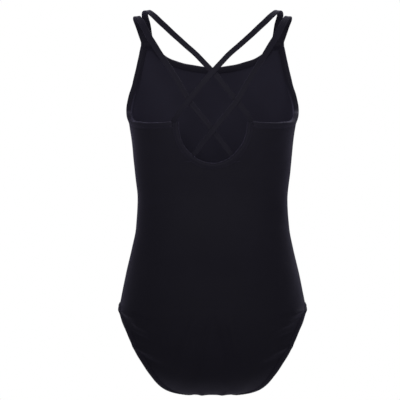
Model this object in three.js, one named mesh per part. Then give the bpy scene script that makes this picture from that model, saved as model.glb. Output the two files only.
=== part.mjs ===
/**
 * A girl's camisole gymnastics leotard with a lined front, a scooped back and four crossing straps.
 *
 * Millimetres, +Z up. The wearer faces +Y, so +X is the wearer's right. The origin is midway between
 * the tops of the shoulder straps, where the garment hangs when it is worn. The garment is shaped on a
 * body form: rounded-square rings above the hip line and, below it, planes fanned about the hip line.
 */
import * as THREE from 'three';

// Overall sizes. The charts below are drawn for the base size and graded to these.
const TORSO_LENGTH = 496; // crotch to the top of the straps
const HIP_WIDTH = 243; // across the tops of the leg openings
const HIP_DEPTH = 165; // front to back at the same height
const BASE_SIZE = { width: 243, depth: 165, length: 496 };

// Cloth, elastic and sewing.
const FABRIC = 0.8; // outer knit
const LINING = 0.6; // front and gusset lining
const FOLD = 0.7; // each leaf of a binding or a hem
const ELASTIC = 0.7; // flat elastic inside bindings and hems
const CLEARANCE = 0.3; // between pieces that touch
const EASE = 0.9; // between curved layers that lie on each other
const LEAF_EASE = 0.6; // under a narrow leaf; a wide one lies flat over the tightest bend and stands off more
const TIGHTEST_BEND = 16.8;
const EDGE_ROOM = 0.9; // from a cut edge to the inside of its fold
const BINDING_WIDTH = 5.8; // from the cut edge to the end of the leaf
const HEM_WIDTH = 7.4;
const ELASTIC_ROOM = 1.3; // a fold is this much wider than the elastic in it
const SEAM_ALLOWANCE = 5; // width of an overlocked seam
const SEAM_THICKNESS = 1;
const SEAM_GAP = 0.4;

// Straps: a sewn tube with a flat elastic inside.
const STRAP_WIDTH = 9;
const STRAP_THICKNESS = 2.4;
const STRAP_WALL = 0.5;
const STRAP_ELASTIC = 0.5;
const STRAP_STEPS = Math.round(4 * STRAP_WIDTH); // a wide strap twists more from edge to edge
const STRAP_SPACE = 1; // between the two straps of a side where they meet the front
const LAYER_SHIFT = STRAP_THICKNESS / 2 + 0.5; // right straps pass over left ones by twice this

// Back scoop, at its cut edge.
const SCOOP_HALF_WIDTH = 46.2;
const SCOOP_TOP = 350.8;
const SCOOP_DEPTH = 53.4;

// Bar tacks and the care label.
const TACK = { length: 8, height: 1.6, thickness: 0.8 };
const TIP_TACK = { length: 12, halfWidth: 85.5, drop: 5 }; // across the front point that holds both straps
const LABEL = { length: 25, height: 28, thickness: 0.4, bottom: 239, lean: 21, inset: 1.8, behindSeam: 1.2 };

// Body form: height of the ring above the crotch, half width, depth behind and depth in front.
const HIP_LINE = 111;
const RINGS = [
  [111, 121.5, 93, 72],
  [150, 113.8, 84, 74],
  [190, 104.6, 68, 74],
  [215, 99.7, 62, 72],
  [252, 97.5, 60, 70],
  [290, 101.4, 66, 70],
  [330, 105.3, 76, 74],
  [368, 111.2, 80, 77],
  [400, 114, 82, 73],
  [430, 124, 80, 64],
  [461, 136, 70, 50],
];
// Below the hip line: degrees turned down from level, and the reach of the fan there.
const SEAT_REACH = [[0, 93], [20, 97], [40, 105], [60, 113], [75, 114.5], [85, 113], [90, 111]];
const ABDOMEN_REACH = [[0, 72], [20, 72], [40, 78], [60, 92], [75, 104], [90, 111]];
const SQUARENESS = [[0, 2.4], [90, 2.8]];
// Leg openings: half width of the cloth at each angle of the fan.
const SEAT_LEG_LINE = [[0, 121.5], [20, 118], [30, 112], [45, 100], [55, 86.5], [65, 75], [75, 62],
  [80, 50], [84, 38.5], [87, 32], [90, 30]];
const ABDOMEN_LEG_LINE = [[0, 121.5], [15, 98], [30, 70], [45, 48], [60, 35], [75, 30], [90, 30]];
// Armhole edge: degrees round from the side seam (behind it below zero) and height.
const ARMHOLE = [[-72, 350.8], [-45, 349.8], [-20, 351.8], [0, 364.2], [21, 392.3], [39, 424], [51.5, 457]];
const NECKLINE = [[58, 457], [63, 442], [71, 432.8], [80, 427.3], [90, 423.8]];

// Straps of the left side: points over the shoulder, then points across the back as distance from the
// centre and height, then the end sewn to the back. An outer strap's shoulder points are those of the
// place beside it, a strap's width and a space further in. A sewn end is so far along the scoop's edge in
// degrees, and so far beyond and below it.
const BACK_SHEET_DEPTH = [[300, 63], [318, 65], [341, 70], [380, 74.5], [418, 75.5], [440, 72], [462, 65]];
const BACK_SHEET_CURVE = 0.0031;
const STRAPS = {
  inner: {
    shoulder: [[-81.5, 44, 458.5], [-84, 30, 478], [-85, 12, 491], [-82, -8, 494.9], [-74, -28, 488],
      [-62, -45, 476]],
    back: [[-43, 459], [-20, 438], [0, 417], [16, 398], [31, 380], [43, 364.5]],
    beside: 0,
    sewn: { turn: 0, beyond: BINDING_WIDTH + 2, below: 4.3 },
  },
  outer: {
    shoulder: [[-81.5, 42, 458.5], [-85, 28, 475], [-89, 10, 486.5], [-88, -8, 489.5], [-80, -28, 481],
      [-70, -42, 466]],
    back: [[-66, 446], [-55, 423.5], [-44, 402.5], [-31, 380], [-16, 361], [0, 341], [14, 323.5]],
    beside: STRAP_WIDTH + STRAP_SPACE,
    sewn: { turn: 47, beyond: 0, below: 11.2 },
  },
};
const STRAP_FACING = [[-0.2, 0.87, 0.45], [-0.16, 0.76, 0.62], [-0.1, 0.4, 0.91], [-0.1, -0.15, 0.98],
  [-0.15, -0.6, 0.78], [-0.25, -0.82, 0.5]];

const { degToRad, radToDeg } = THREE.MathUtils;
const grade = new THREE.Vector3(
  HIP_WIDTH / BASE_SIZE.width,
  HIP_DEPTH / BASE_SIZE.depth,
  TORSO_LENGTH / BASE_SIZE.length,
);
const graded = (x, y, z) => new THREE.Vector3(x, y, z).multiply(grade);
const largestGrade = Math.max(grade.x, grade.y, grade.z);

/** Reads a chart of [key, value, ...] rows at a key, by a smooth curve that never overshoots. */
function readChart(rows, key, column = 1) {
  const last = rows.length - 1;
  const at = THREE.MathUtils.clamp(key, rows[0][0], rows[last][0]);
  const span = Math.min(rows.findIndex((row, i) => i === last || at <= rows[i + 1][0]), last - 1);
  const slope = (i) => (rows[i + 1][column] - rows[i][column]) / (rows[i + 1][0] - rows[i][0]);
  const tangent = (i) => {
    if (i === 0) return slope(0);
    if (i === last) return slope(last - 1);
    const [before, after] = [slope(i - 1), slope(i)];
    return before * after <= 0 ? 0 : (2 * before * after) / (before + after);
  };
  const width = rows[span + 1][0] - rows[span][0];
  const t = (at - rows[span][0]) / width;
  const [start, end] = [rows[span][column], rows[span + 1][column]];
  return (
    start * (1 + 2 * t) * (1 - t) ** 2 +
    end * t * t * (3 - 2 * t) +
    width * t * (1 - t) * (tangent(span) * (1 - t) - tangent(span + 1) * t)
  );
}

const squareness = (angle) => readChart(SQUARENESS, angle);
const legLine = (angle, face) => readChart(face > 0 ? ABDOMEN_LEG_LINE : SEAT_LEG_LINE, angle);
const reach = (angle, face) => readChart(face > 0 ? ABDOMEN_REACH : SEAT_REACH, angle);
const ringWidth = (height) => readChart(RINGS, height, 1);
const ringDepth = (height, face) => readChart(RINGS, height, face > 0 ? 3 : 2);

/** How far out a point is: 1 on the body form, less inside it and more outside it. */
function fullness(point) {
  const { x, y, z } = point.clone().divide(grade);
  const drop = Math.max(HIP_LINE - z, 0);
  const angle = drop > 0 ? radToDeg(Math.atan2(drop, Math.abs(y))) : 0;
  const power = squareness(angle);
  const width = ringWidth(Math.max(z, HIP_LINE));
  const depth = drop > 0 ? reach(angle, y) : ringDepth(z, y);
  return ((Math.abs(x) / width) ** power + (Math.hypot(y, drop) / depth) ** power) ** (1 / power);
}

/** Moves a point straight out from the middle of the form until it lies on the form. */
function ontoForm(point) {
  const middle = new THREE.Vector3(0, 0, Math.max(point.z, HIP_LINE * grade.z));
  return point.clone().sub(middle).divideScalar(fullness(point)).add(middle);
}

/** The form's outward direction at a point on it. */
function outward(point) {
  const step = 0.05;
  const change = (axis) => {
    const ahead = point.clone();
    const behind = point.clone();
    ahead[axis] += step;
    behind[axis] -= step;
    return fullness(ahead) - fullness(behind);
  };
  return new THREE.Vector3(change('x'), change('y'), change('z')).normalize();
}

/** A point of the form above the hip line, by degrees round from the side seam and height. */
function ringPoint(degrees, height, face) {
  const power = 2 / squareness(0);
  return graded(
    ringWidth(height) * Math.cos(degToRad(degrees)) ** power,
    face * ringDepth(height, face) * Math.sin(degToRad(degrees)) ** power,
    height,
  );
}

/** A point of the form below the hip line, by degrees round from the side and degrees turned down. */
function fanPoint(degrees, angle, face) {
  const power = 2 / squareness(angle);
  const out = reach(angle, face) * Math.sin(degToRad(degrees)) ** power;
  return graded(
    ringWidth(HIP_LINE) * Math.cos(degToRad(degrees)) ** power,
    face * out * Math.cos(degToRad(angle)),
    HIP_LINE - out * Math.sin(degToRad(angle)),
  );
}

/** Half width and height of a point of the scoop's cut edge, by degrees round from its corner. */
function scoopPoint(turn) {
  return [SCOOP_HALF_WIDTH * Math.cos(degToRad(turn)), SCOOP_TOP - SCOOP_DEPTH * Math.sin(degToRad(turn))];
}

/** Degrees round from the side seam of a point at a half width, on a ring or fan plane. */
function degreesAt(halfWidth, width, power) {
  return radToDeg(Math.acos(Math.min(halfWidth / width, 1) ** (power / 2)));
}

/** Moves every vertex of a geometry to where place sends it. */
function bent(geometry, place) {
  const positions = geometry.attributes.position;
  const vertex = new THREE.Vector3();
  for (let i = 0; i < positions.count; i += 1) {
    const moved = place(vertex.fromBufferAttribute(positions, i));
    positions.setXYZ(i, moved.x, moved.y, moved.z);
  }
  return geometry;
}

/** The same solid on the other side of the body. */
function mirrored(geometry) {
  const copy = geometry.index ? geometry.toNonIndexed() : geometry.clone();
  const positions = copy.attributes.position;
  const corners = [0, 2, 1];
  const source = positions.clone();
  for (let i = 0; i < positions.count; i += 1) {
    const from = i - (i % 3) + corners[i % 3];
    positions.setXYZ(i, -source.getX(from), source.getY(from), source.getZ(from));
  }
  return copy;
}

// ---- Panels and linings ----------------------------------------------------------------------

const HEM_TO_LINING = HEM_WIDTH + 1.6;
const LINING_SIDE_INSET = 3;
const LINING_LOWEST = 61; // degrees turned down where the lining's lower edge lies
const GUSSET_REACH = { front: 28, back: 30 }; // degrees each side of straight down
const LOWER_ROWS = [90, 84, 77, 69, 61, 53, 46, 39, 32, 24, 16, 10, 5, 2, 0.5, 0];
const UPPER_ROWS = [0.16, 0.32, 0.48, 0.64, 0.8, 0.93, 1];
const ARMHOLE_COLUMNS = [0, 8, 17, 25, 32, 37.5, 42.5, 47, 51.5];
const NECKLINE_COLUMNS = [58, 61, 66, 73, 81, 90];
const BACK_BAND_COLUMNS = [0, 8, 18, 30, 43, 57];
const SCOOP_TURNS = [0, 15, 30, 45, 60, 75, 90];

/** Columns of the front from a side seam to the centre: degrees round and the height of the top edge. */
function frontColumns() {
  const armhole = ARMHOLE_COLUMNS.map((degrees) => ({ degrees, top: readChart(ARMHOLE, degrees) }));
  const neckline = NECKLINE_COLUMNS.map((degrees) => ({ degrees, top: readChart(NECKLINE, degrees) }));
  return [...armhole, ...neckline];
}

/** Columns of the back from a side seam to the centre, closing up where the scoop falls steeply. */
function backColumns() {
  const band = BACK_BAND_COLUMNS.map((degrees) => ({ degrees, top: readChart(ARMHOLE, -degrees) }));
  const scoop = SCOOP_TURNS.map((turn) => {
    const [halfWidth, top] = scoopPoint(turn);
    return { degrees: degreesAt(halfWidth, ringWidth(top), squareness(0)), top };
  });
  return [...band, ...scoop];
}

/**
 * One layer of cloth over the front or the back, from the crotch seam to the top edge.
 * face is 1 in front and -1 behind; outer is how far inside the form its outer surface lies.
 */
function clothPanel({ face, columns, outer, thickness, lowestAngle = 90, legInset = 0, sideInset = 0 }) {
  const lower = LOWER_ROWS.filter((angle) => angle <= lowestAngle);
  const rows = lower.length + UPPER_ROWS.length - 1;
  const half = columns.length - 1;
  const pointAt = (column, row) => {
    const { degrees, top } = columns[column];
    if (row < lower.length) {
      const angle = lower[row];
      const halfWidth = legInset > 0 ? insetLegLine(angle, face, legInset) : legLine(angle, face);
      const edge = degreesAt(halfWidth, ringWidth(HIP_LINE), squareness(angle));
      return fanPoint(edge + (90 - edge) * (degrees / 90), angle, face);
    }
    const height = HIP_LINE + UPPER_ROWS[row - lower.length] * (top - HIP_LINE);
    const edge = radToDeg(Math.asin((sideInset / ringDepth(height, face)) ** (squareness(0) / 2)));
    return ringPoint(Math.max(degrees, edge), height, face);
  };
  return bent(new THREE.BoxGeometry(1, 1, 1, 2 * half, rows, 1), ({ x, y, z }) => {
    const across = Math.round((x + 0.5) * 2 * half);
    const point = pointAt(Math.min(across, 2 * half - across), Math.round((y + 0.5) * rows));
    point.x *= across < half ? face : -face;
    const inside = outer + (0.5 - z) * thickness;
    point.addScaledVector(outward(point), -inside);
    point.y += (face * SEAM_GAP) / 2;
    return point;
  });
}

/** A small patch of cloth or thread on the form: u and v run 0 to 1 across and up, seen from outside. */
function patch({ place, across, up, outer, thickness }) {
  return bent(new THREE.BoxGeometry(1, 1, 1, across, up, 1), ({ x, y, z }) => {
    const point = ontoForm(place(x + 0.5, y + 0.5));
    return point.addScaledVector(outward(point), (z - 0.5) * thickness - outer);
  });
}

const liningOuter = FABRIC + EASE;
const seamOuter = FABRIC + EASE;
const gussetOuter = seamOuter + SEAM_THICKNESS + EASE;

/** The doubled cloth of the crotch, inside the crotch seam. */
function gussetLining() {
  const halfWidth = (angle, face) => insetLegLine(angle, face, HEM_TO_LINING) * grade.x;
  return patch({
    place: (u, v) => {
      const turn = -GUSSET_REACH.back + v * (GUSSET_REACH.front + GUSSET_REACH.back);
      const face = turn < 0 ? -1 : 1;
      const angle = 90 - Math.abs(turn);
      const point = fanPoint(90, angle, face);
      point.x = (0.5 - u) * 2 * halfWidth(angle, face);
      return point;
    },
    across: 6,
    up: 12,
    outer: gussetOuter,
    thickness: LINING,
  });
}

/** The overlocked side seam, folded to the back inside the right side. */
function sideSeam() {
  const top = readChart(ARMHOLE, 0) * grade.z;
  const hip = HIP_LINE * grade.z;
  const heights = [hip + HEM_WIDTH + 2, ...UPPER_ROWS.map((share) => hip + share * (top - hip))];
  heights[heights.length - 1] = top - BINDING_WIDTH - 1;
  return patch({
    place: (u, v) => {
      const height = heights[Math.round(v * (heights.length - 1))];
      const behind = SEAM_GAP + (1 - u) * SEAM_ALLOWANCE;
      return new THREE.Vector3(ringWidth(height / grade.z) * grade.x, -behind, height);
    },
    across: 1,
    up: heights.length - 1,
    outer: seamOuter,
    thickness: SEAM_THICKNESS,
  });
}

/** The overlocked crotch seam, folded to the back inside the crotch. */
function crotchSeam() {
  const halfWidth = legLine(90, 1) * grade.x - HEM_WIDTH - 1;
  return patch({
    place: (u, v) => new THREE.Vector3((0.5 - u) * 2 * halfWidth, -SEAM_GAP - (1 - v) * SEAM_ALLOWANCE, 0),
    across: 6,
    up: 1,
    outer: seamOuter,
    thickness: SEAM_THICKNESS,
  });
}

// ---- Bindings, hems and their elastic ----------------------------------------------------------

/** Stations of the right armhole's cut edge, from the back corner under the arm to the front tip. */
function armholeEdge() {
  const bandEnd = SCOOP_HALF_WIDTH + (BINDING_WIDTH + SEAM_GAP) / grade.x;
  const start = degreesAt(bandEnd, ringWidth(SCOOP_TOP), squareness(0));
  const behind = [start, ...BACK_BAND_COLUMNS.slice(1).reverse()].map((degrees) => -degrees);
  return [...behind, ...ARMHOLE_COLUMNS].map((degrees) =>
    ringPoint(Math.abs(degrees), readChart(ARMHOLE, degrees), degrees < 0 ? -1 : 1));
}

/** Stations of the front neckline's cut edge, from the right strap point to the left one. */
function necklineEdge() {
  const right = NECKLINE_COLUMNS.map((degrees) => ringPoint(degrees, readChart(NECKLINE, degrees), 1));
  return [...right, ...acrossMiddle(right)];
}

/** Stations of the scoop's cut edge, from left to right, with upright ends through the band. */
function scoopEdge() {
  const right = SCOOP_TURNS.map((turn) => {
    const [halfWidth, height] = scoopPoint(turn);
    return ringPoint(degreesAt(halfWidth, ringWidth(height), squareness(0)), height, -1);
  });
  const corner = right[0].clone();
  corner.z += EDGE_ROOM;
  const descending = [corner, ...right];
  return [...acrossMiddle(descending).reverse(), ...descending.reverse()];
}

/** Stations of the right leg opening's cut edge, from the crotch up the front and down the back to it. */
function legEdge() {
  const pointAt = (angle, face) => {
    const degrees = degreesAt(legLine(angle, face), ringWidth(HIP_LINE), squareness(angle));
    const point = fanPoint(degrees, angle, face);
    point.y += angle > 0 ? (face * SEAM_GAP) / 2 : 0;
    return point;
  };
  const front = LOWER_ROWS.map((angle) => pointAt(angle, 1));
  const back = LOWER_ROWS.slice(0, -1).map((angle) => pointAt(angle, -1));
  return [...front, ...back.reverse()];
}

/** The mirror images of stations that end on the middle line, in order away from it. */
function acrossMiddle(stations) {
  return stations.slice(0, -1).reverse().map(({ x, y, z }) => new THREE.Vector3(-x, y, z));
}

/** The half width of a leg opening's edge drawn in over the cloth by a distance. */
function insetLegLine(angle, face, inset) {
  const edge = legEdge();
  const step = 0.5;
  const isClear = (halfWidth) => {
    const point = fanPoint(degreesAt(halfWidth, ringWidth(HIP_LINE), squareness(angle)), angle, face);
    return edge.every((end, i) => i === 0 || new THREE.Line3(edge[i - 1], end)
      .closestPointToPoint(point, true, new THREE.Vector3()).distanceTo(point) >= inset);
  };
  let halfWidth = legLine(angle, face) - inset / grade.x;
  while (!isClear(halfWidth)) halfWidth -= step;
  return halfWidth;
}

/** A section swept along a cut edge. Its x runs off the cloth over the edge and its y runs outward. */
function alongEdge(section, edge) {
  const steps = edge.length - 1;
  const stations = edge.map((point, i) => {
    const ahead = edge[Math.min(i + 1, steps)].clone().sub(point).normalize();
    const behind = point.clone().sub(edge[Math.max(i - 1, 0)]).normalize();
    return { point, offEdge: outward(point).cross(ahead.add(behind)).normalize() };
  });
  const strip = new THREE.ExtrudeGeometry(section, { depth: 1, steps, bevelEnabled: false });
  return bent(strip, ({ x, y, z }) => {
    const { point, offEdge } = stations[Math.round(z * steps)];
    const onForm = ontoForm(point.clone().addScaledVector(offEdge, x));
    return onForm.addScaledVector(outward(onForm), y);
  });
}

/** The room between the cloth and the outer leaf of a fold, which is flat across its width. */
function leafEase(width) {
  return (LEAF_EASE + width ** 2 / (8 * TIGHTEST_BEND)) * largestGrade;
}

/** A folded strip round a cut edge: two leaves and the fold that joins them, with rounded corners. */
function foldSection(width, depth) {
  const ease = leafEase(width);
  const outside = ease + FOLD;
  const edge = EDGE_ROOM + FOLD;
  const corner = FOLD;
  return new THREE.Shape()
    .moveTo(-width, outside)
    .lineTo(-width, ease)
    .lineTo(EDGE_ROOM, ease)
    .lineTo(EDGE_ROOM, -depth)
    .lineTo(-width, -depth)
    .lineTo(-width, -depth - FOLD)
    .lineTo(edge - corner, -depth - FOLD)
    .lineTo(edge, corner - depth - FOLD)
    .lineTo(edge, outside - corner)
    .lineTo(edge - corner, outside);
}

/** The flat elastic inside a fold, between the cloth and the inner leaf. */
function elasticSection(width, cloth) {
  const [right, top] = [-EASE, -cloth - EASE];
  return new THREE.Shape()
    .moveTo(right, top)
    .lineTo(right - width, top)
    .lineTo(right - width, top - ELASTIC)
    .lineTo(right, top - ELASTIC);
}

const linedCloth = liningOuter + LINING;
const foldDepth = (cloth) => cloth + EASE + ELASTIC + EASE;

// ---- Straps --------------------------------------------------------------------------------------

/** The sheet that the straps lie on across the back. */
function backSheet(x, height) {
  return -(readChart(BACK_SHEET_DEPTH, height) - BACK_SHEET_CURVE * x * x);
}

/** The outward direction of that sheet. */
function backSheetFacing(x, height) {
  const rise = (backSheet(x, height + 1) - backSheet(x, height - 1)) / 2;
  return new THREE.Vector3(2 * BACK_SHEET_CURVE * x, -1, rise).normalize();
}

/** Distance from the centre and height of the end of a strap that is sewn to the back. */
function sewnEnd({ turn, beyond, below }) {
  const [halfWidth, height] = scoopPoint(turn);
  return [halfWidth + beyond, height - below];
}

/** A section swept along a strap of one side, over the shoulder and across to the other side of the back. */
function alongStrap(section, { shoulder, back, beside, sewn }, side) {
  const onBack = [...back, sewnEnd(sewn)].map(([x, height], i) => {
    const facing = backSheetFacing(x, height);
    const share = i === 0 ? 0 : Math.min((back.length - i) / 2, 1);
    const away = side * LAYER_SHIFT * share;
    const point = new THREE.Vector3(x, backSheet(x, height), height).addScaledVector(facing, away);
    return { point, facing };
  });
  const overShoulder = shoulder.map((point) => graded(...point));
  overShoulder.forEach((point) => point.setX(point.x - beside));
  const route = [...overShoulder, ...onBack.map(({ point }) => point.multiply(grade))];
  const shoulderFacings = STRAP_FACING.map((facing) => new THREE.Vector3(...facing));
  const facings = [...shoulderFacings, ...onBack.map(({ facing }) => facing)];
  const middle = new THREE.CatmullRomCurve3(route, false, 'centripetal');
  const facingCurve = new THREE.CatmullRomCurve3(facings, false, 'catmullrom');
  const strip = new THREE.ExtrudeGeometry(section, { depth: 1, steps: STRAP_STEPS, bevelEnabled: false });
  const solid = bent(strip, ({ x, y, z }) => {
    const t = middle.getUtoTmapping(z);
    const along = middle.getTangent(t);
    const across = facingCurve.getPoint(t).cross(along).normalize();
    const out = along.clone().cross(across);
    return middle.getPoint(t).addScaledVector(across, x).addScaledVector(out, y);
  });
  return side > 0 ? mirrored(solid) : solid;
}

/** A rectangle about the middle of a strap, as a Shape or as the outline of a hole. */
function rectangle(width, height, Outline) {
  return new Outline()
    .moveTo(-width / 2, -height / 2)
    .lineTo(width / 2, -height / 2)
    .lineTo(width / 2, height / 2)
    .lineTo(-width / 2, height / 2)
    .closePath();
}

/** The sewn tube of a strap. */
function strapTubeSection() {
  const tube = rectangle(STRAP_WIDTH, STRAP_THICKNESS, THREE.Shape);
  tube.holes.push(rectangle(STRAP_WIDTH - 2 * STRAP_WALL, STRAP_THICKNESS - 2 * STRAP_WALL, THREE.Path));
  return tube;
}

/** The elastic inside that tube. */
function strapElasticSection() {
  return rectangle(STRAP_WIDTH - 2 * (STRAP_WALL + CLEARANCE), STRAP_ELASTIC, THREE.Shape);
}

// ---- Tacks and label -----------------------------------------------------------------------------

/** A bar tack on the right of the garment, centred at a distance from the middle and a height. */
function barTack([halfWidth, height], face, length) {
  const middle = ringPoint(degreesAt(halfWidth, ringWidth(height), squareness(0)), height, face);
  return patch({
    place: (u, v) => {
      const point = middle.clone();
      point.x += (u - 0.5) * length * -face;
      point.z += (v - 0.5) * TACK.height;
      return point;
    },
    across: 3,
    up: 1,
    outer: -(leafEase(BINDING_WIDTH) + FOLD + CLEARANCE + TACK.thickness),
    thickness: TACK.thickness,
  });
}

/** The blank care label, sewn into the left side seam by its front edge. */
function careLabel(material) {
  const label = new THREE.Mesh(new THREE.BoxGeometry(LABEL.thickness, LABEL.length, LABEL.height), material);
  const form = ringWidth(LABEL.bottom + LABEL.height / 2) * grade.x;
  const lean = degToRad(LABEL.lean);
  label.name = 'care_label';
  label.rotation.z = lean;
  label.position.set(
    FABRIC + LABEL.inset - form + (LABEL.length / 2) * Math.sin(lean),
    -(SEAM_GAP + SEAM_ALLOWANCE + LABEL.behindSeam) - (LABEL.length / 2) * Math.cos(lean),
    LABEL.bottom * grade.z + LABEL.height / 2,
  );
  return label;
}

// ---- The garment ---------------------------------------------------------------------------------

const cloth = { color: 0x1b1a1e, roughness: 0.78, metalness: 0 };
const finishes = {
  knit: cloth,
  trim: { ...cloth, color: 0x1f1e24, roughness: 0.7 },
  lining: { ...cloth, color: 0x24232b, roughness: 0.85 },
  elastic: { ...cloth, color: 0x2b2b30, roughness: 0.6 },
  thread: { ...cloth, color: 0x232228, roughness: 0.55 },
  label: { ...cloth, color: 0xe8e6e0, roughness: 0.6 },
};

const garment = new THREE.Group();
const finish = (kind) => new THREE.MeshStandardMaterial(finishes[kind]);

function add(name, geometry, kind) {
  const mesh = new THREE.Mesh(geometry, finish(kind));
  mesh.name = name;
  garment.add(mesh);
}

/** Adds a piece of the right side and its mirror image on the left. */
function addPair(name, geometry, kind) {
  add(`${name}_right`, geometry, kind);
  add(`${name}_left`, mirrored(geometry), kind);
}

add('front_panel', clothPanel({ face: 1, columns: frontColumns(), outer: 0, thickness: FABRIC }), 'knit');
add('back_panel', clothPanel({ face: -1, columns: backColumns(), outer: 0, thickness: FABRIC }), 'knit');
add('front_lining', clothPanel({
  face: 1,
  columns: frontColumns(),
  outer: liningOuter,
  thickness: LINING,
  lowestAngle: LINING_LOWEST,
  legInset: HEM_TO_LINING,
  sideInset: LINING_SIDE_INSET,
}), 'lining');
add('gusset_lining', gussetLining(), 'lining');
addPair('side_seam', sideSeam(), 'thread');
add('crotch_seam', crotchSeam(), 'thread');

const linedFold = foldSection(BINDING_WIDTH, foldDepth(linedCloth));
const linedElastic = elasticSection(BINDING_WIDTH - ELASTIC_ROOM, linedCloth);
const unlinedElastic = elasticSection(BINDING_WIDTH - ELASTIC_ROOM, FABRIC);
add('front_neck_binding', alongEdge(linedFold, necklineEdge()), 'trim');
add('front_neck_elastic', alongEdge(linedElastic, necklineEdge()), 'elastic');
addPair('armhole_binding', alongEdge(linedFold, armholeEdge()), 'trim');
addPair('armhole_elastic', alongEdge(linedElastic, armholeEdge()), 'elastic');
add('back_scoop_binding', alongEdge(foldSection(BINDING_WIDTH, foldDepth(FABRIC)), scoopEdge()), 'trim');
add('back_scoop_elastic', alongEdge(unlinedElastic, scoopEdge()), 'elastic');
addPair('leg_hem', alongEdge(foldSection(HEM_WIDTH, foldDepth(FABRIC)), legEdge()), 'trim');
addPair('leg_elastic', alongEdge(elasticSection(HEM_WIDTH - ELASTIC_ROOM, FABRIC), legEdge()), 'elastic');

for (const [position, route] of Object.entries(STRAPS)) {
  for (const [side, sign] of [['left', -1], ['right', 1]]) {
    add(`${position}_strap_${side}`, alongStrap(strapTubeSection(), route, sign), 'trim');
    add(`${position}_strap_elastic_${side}`, alongStrap(strapElasticSection(), route, sign), 'elastic');
  }
}

const [, tipHeight] = ARMHOLE.at(-1);
const tipTack = barTack([TIP_TACK.halfWidth, tipHeight - TIP_TACK.drop], 1, TIP_TACK.length);
addPair('front_tip_tack', tipTack, 'thread');
for (const [position, { sewn }] of Object.entries(STRAPS)) {
  const [halfWidth, end] = sewnEnd(sewn);
  addPair(`${position}_strap_tack`, barTack([halfWidth, end + TACK.height / 2], -1, TACK.length), 'thread');
}
garment.add(careLabel(finish('label')));

garment.position.z = -TORSO_LENGTH;

const leotard = new THREE.Group();
leotard.add(garment);

export default leotard;
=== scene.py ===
"""Looks of a girl's camisole gymnastics leotard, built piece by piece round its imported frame.

The garment is shaped on a body form. The form works in millimetres with heights counted up from the
crotch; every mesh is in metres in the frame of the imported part.
"""

import logging
import math
from collections.abc import Sequence
from dataclasses import dataclass, field
from enum import Enum

import bmesh
import bpy
import numpy as np
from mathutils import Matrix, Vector


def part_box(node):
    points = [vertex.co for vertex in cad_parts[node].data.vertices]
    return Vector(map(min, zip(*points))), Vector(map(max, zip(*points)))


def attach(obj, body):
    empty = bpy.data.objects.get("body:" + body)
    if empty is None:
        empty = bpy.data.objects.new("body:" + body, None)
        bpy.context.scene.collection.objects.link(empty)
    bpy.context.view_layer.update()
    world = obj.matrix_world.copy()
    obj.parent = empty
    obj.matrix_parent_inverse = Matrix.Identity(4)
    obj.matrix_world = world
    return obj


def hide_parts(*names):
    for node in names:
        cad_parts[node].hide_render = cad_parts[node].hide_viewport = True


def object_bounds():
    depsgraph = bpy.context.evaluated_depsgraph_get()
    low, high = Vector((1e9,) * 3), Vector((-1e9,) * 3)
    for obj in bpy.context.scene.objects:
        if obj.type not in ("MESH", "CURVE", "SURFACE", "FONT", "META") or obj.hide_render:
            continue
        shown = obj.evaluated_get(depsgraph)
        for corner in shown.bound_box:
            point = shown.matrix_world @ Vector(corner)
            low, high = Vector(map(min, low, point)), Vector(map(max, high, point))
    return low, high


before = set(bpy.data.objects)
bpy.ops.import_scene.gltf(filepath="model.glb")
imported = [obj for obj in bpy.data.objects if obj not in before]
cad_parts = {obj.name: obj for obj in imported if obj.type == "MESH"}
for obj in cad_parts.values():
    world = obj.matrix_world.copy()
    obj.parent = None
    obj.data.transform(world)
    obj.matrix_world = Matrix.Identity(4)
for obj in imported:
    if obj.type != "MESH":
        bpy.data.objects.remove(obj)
CAD_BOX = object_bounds()
LOG = logging.getLogger("leotard")

Rows = tuple[tuple[float, ...], ...]

MM = 0.001
DRAWN_HALF_WIDTH, DRAWN_REACH, DRAWN_LENGTH = 0.1215, 0.07704, 0.496
PANEL_LOW, PANEL_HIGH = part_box("front_panel")
TORSO_MM = -PANEL_LOW.z / MM
GRADE = np.array([
    PANEL_HIGH.x / DRAWN_HALF_WIDTH, PANEL_HIGH.y / DRAWN_REACH, -PANEL_LOW.z / DRAWN_LENGTH,
])
GARMENT_BODY = "leotard"
LABEL_BODY = "label"

FABRIC_MM = 0.8
LINING_MM = 0.6
FOLD_MM = 0.7
SEAM_MM = 1.0
LINING_DEPTH_MM = 1.7  # depths are from the outer knit's outer face to a layer's outer face
SEAM_DEPTH_MM = 1.7
GUSSET_DEPTH_MM = 3.6
ROOM_MM = 2.5  # inside a fold, beyond the cloth that it goes round
STITCH_HEIGHT_MM = FOLD_MM + 0.05


class Face(Enum):
    """Which half of the garment a piece lies on: the sign of its Y."""

    FRONT = 1
    BACK = -1


class Side(Enum):
    """The wearer's side: the sign of its X."""

    RIGHT = 1
    LEFT = -1

    @property
    def hand(self) -> str:
        """The side's name, as in the names of pieces."""
        return self.name.lower()


class Stitch(Enum):
    """How a line of sewing runs."""

    STRAIGHT = "straight"
    ZIGZAG = "zigzag"


# ---- Body form -----------------------------------------------------------------------------------


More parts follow.
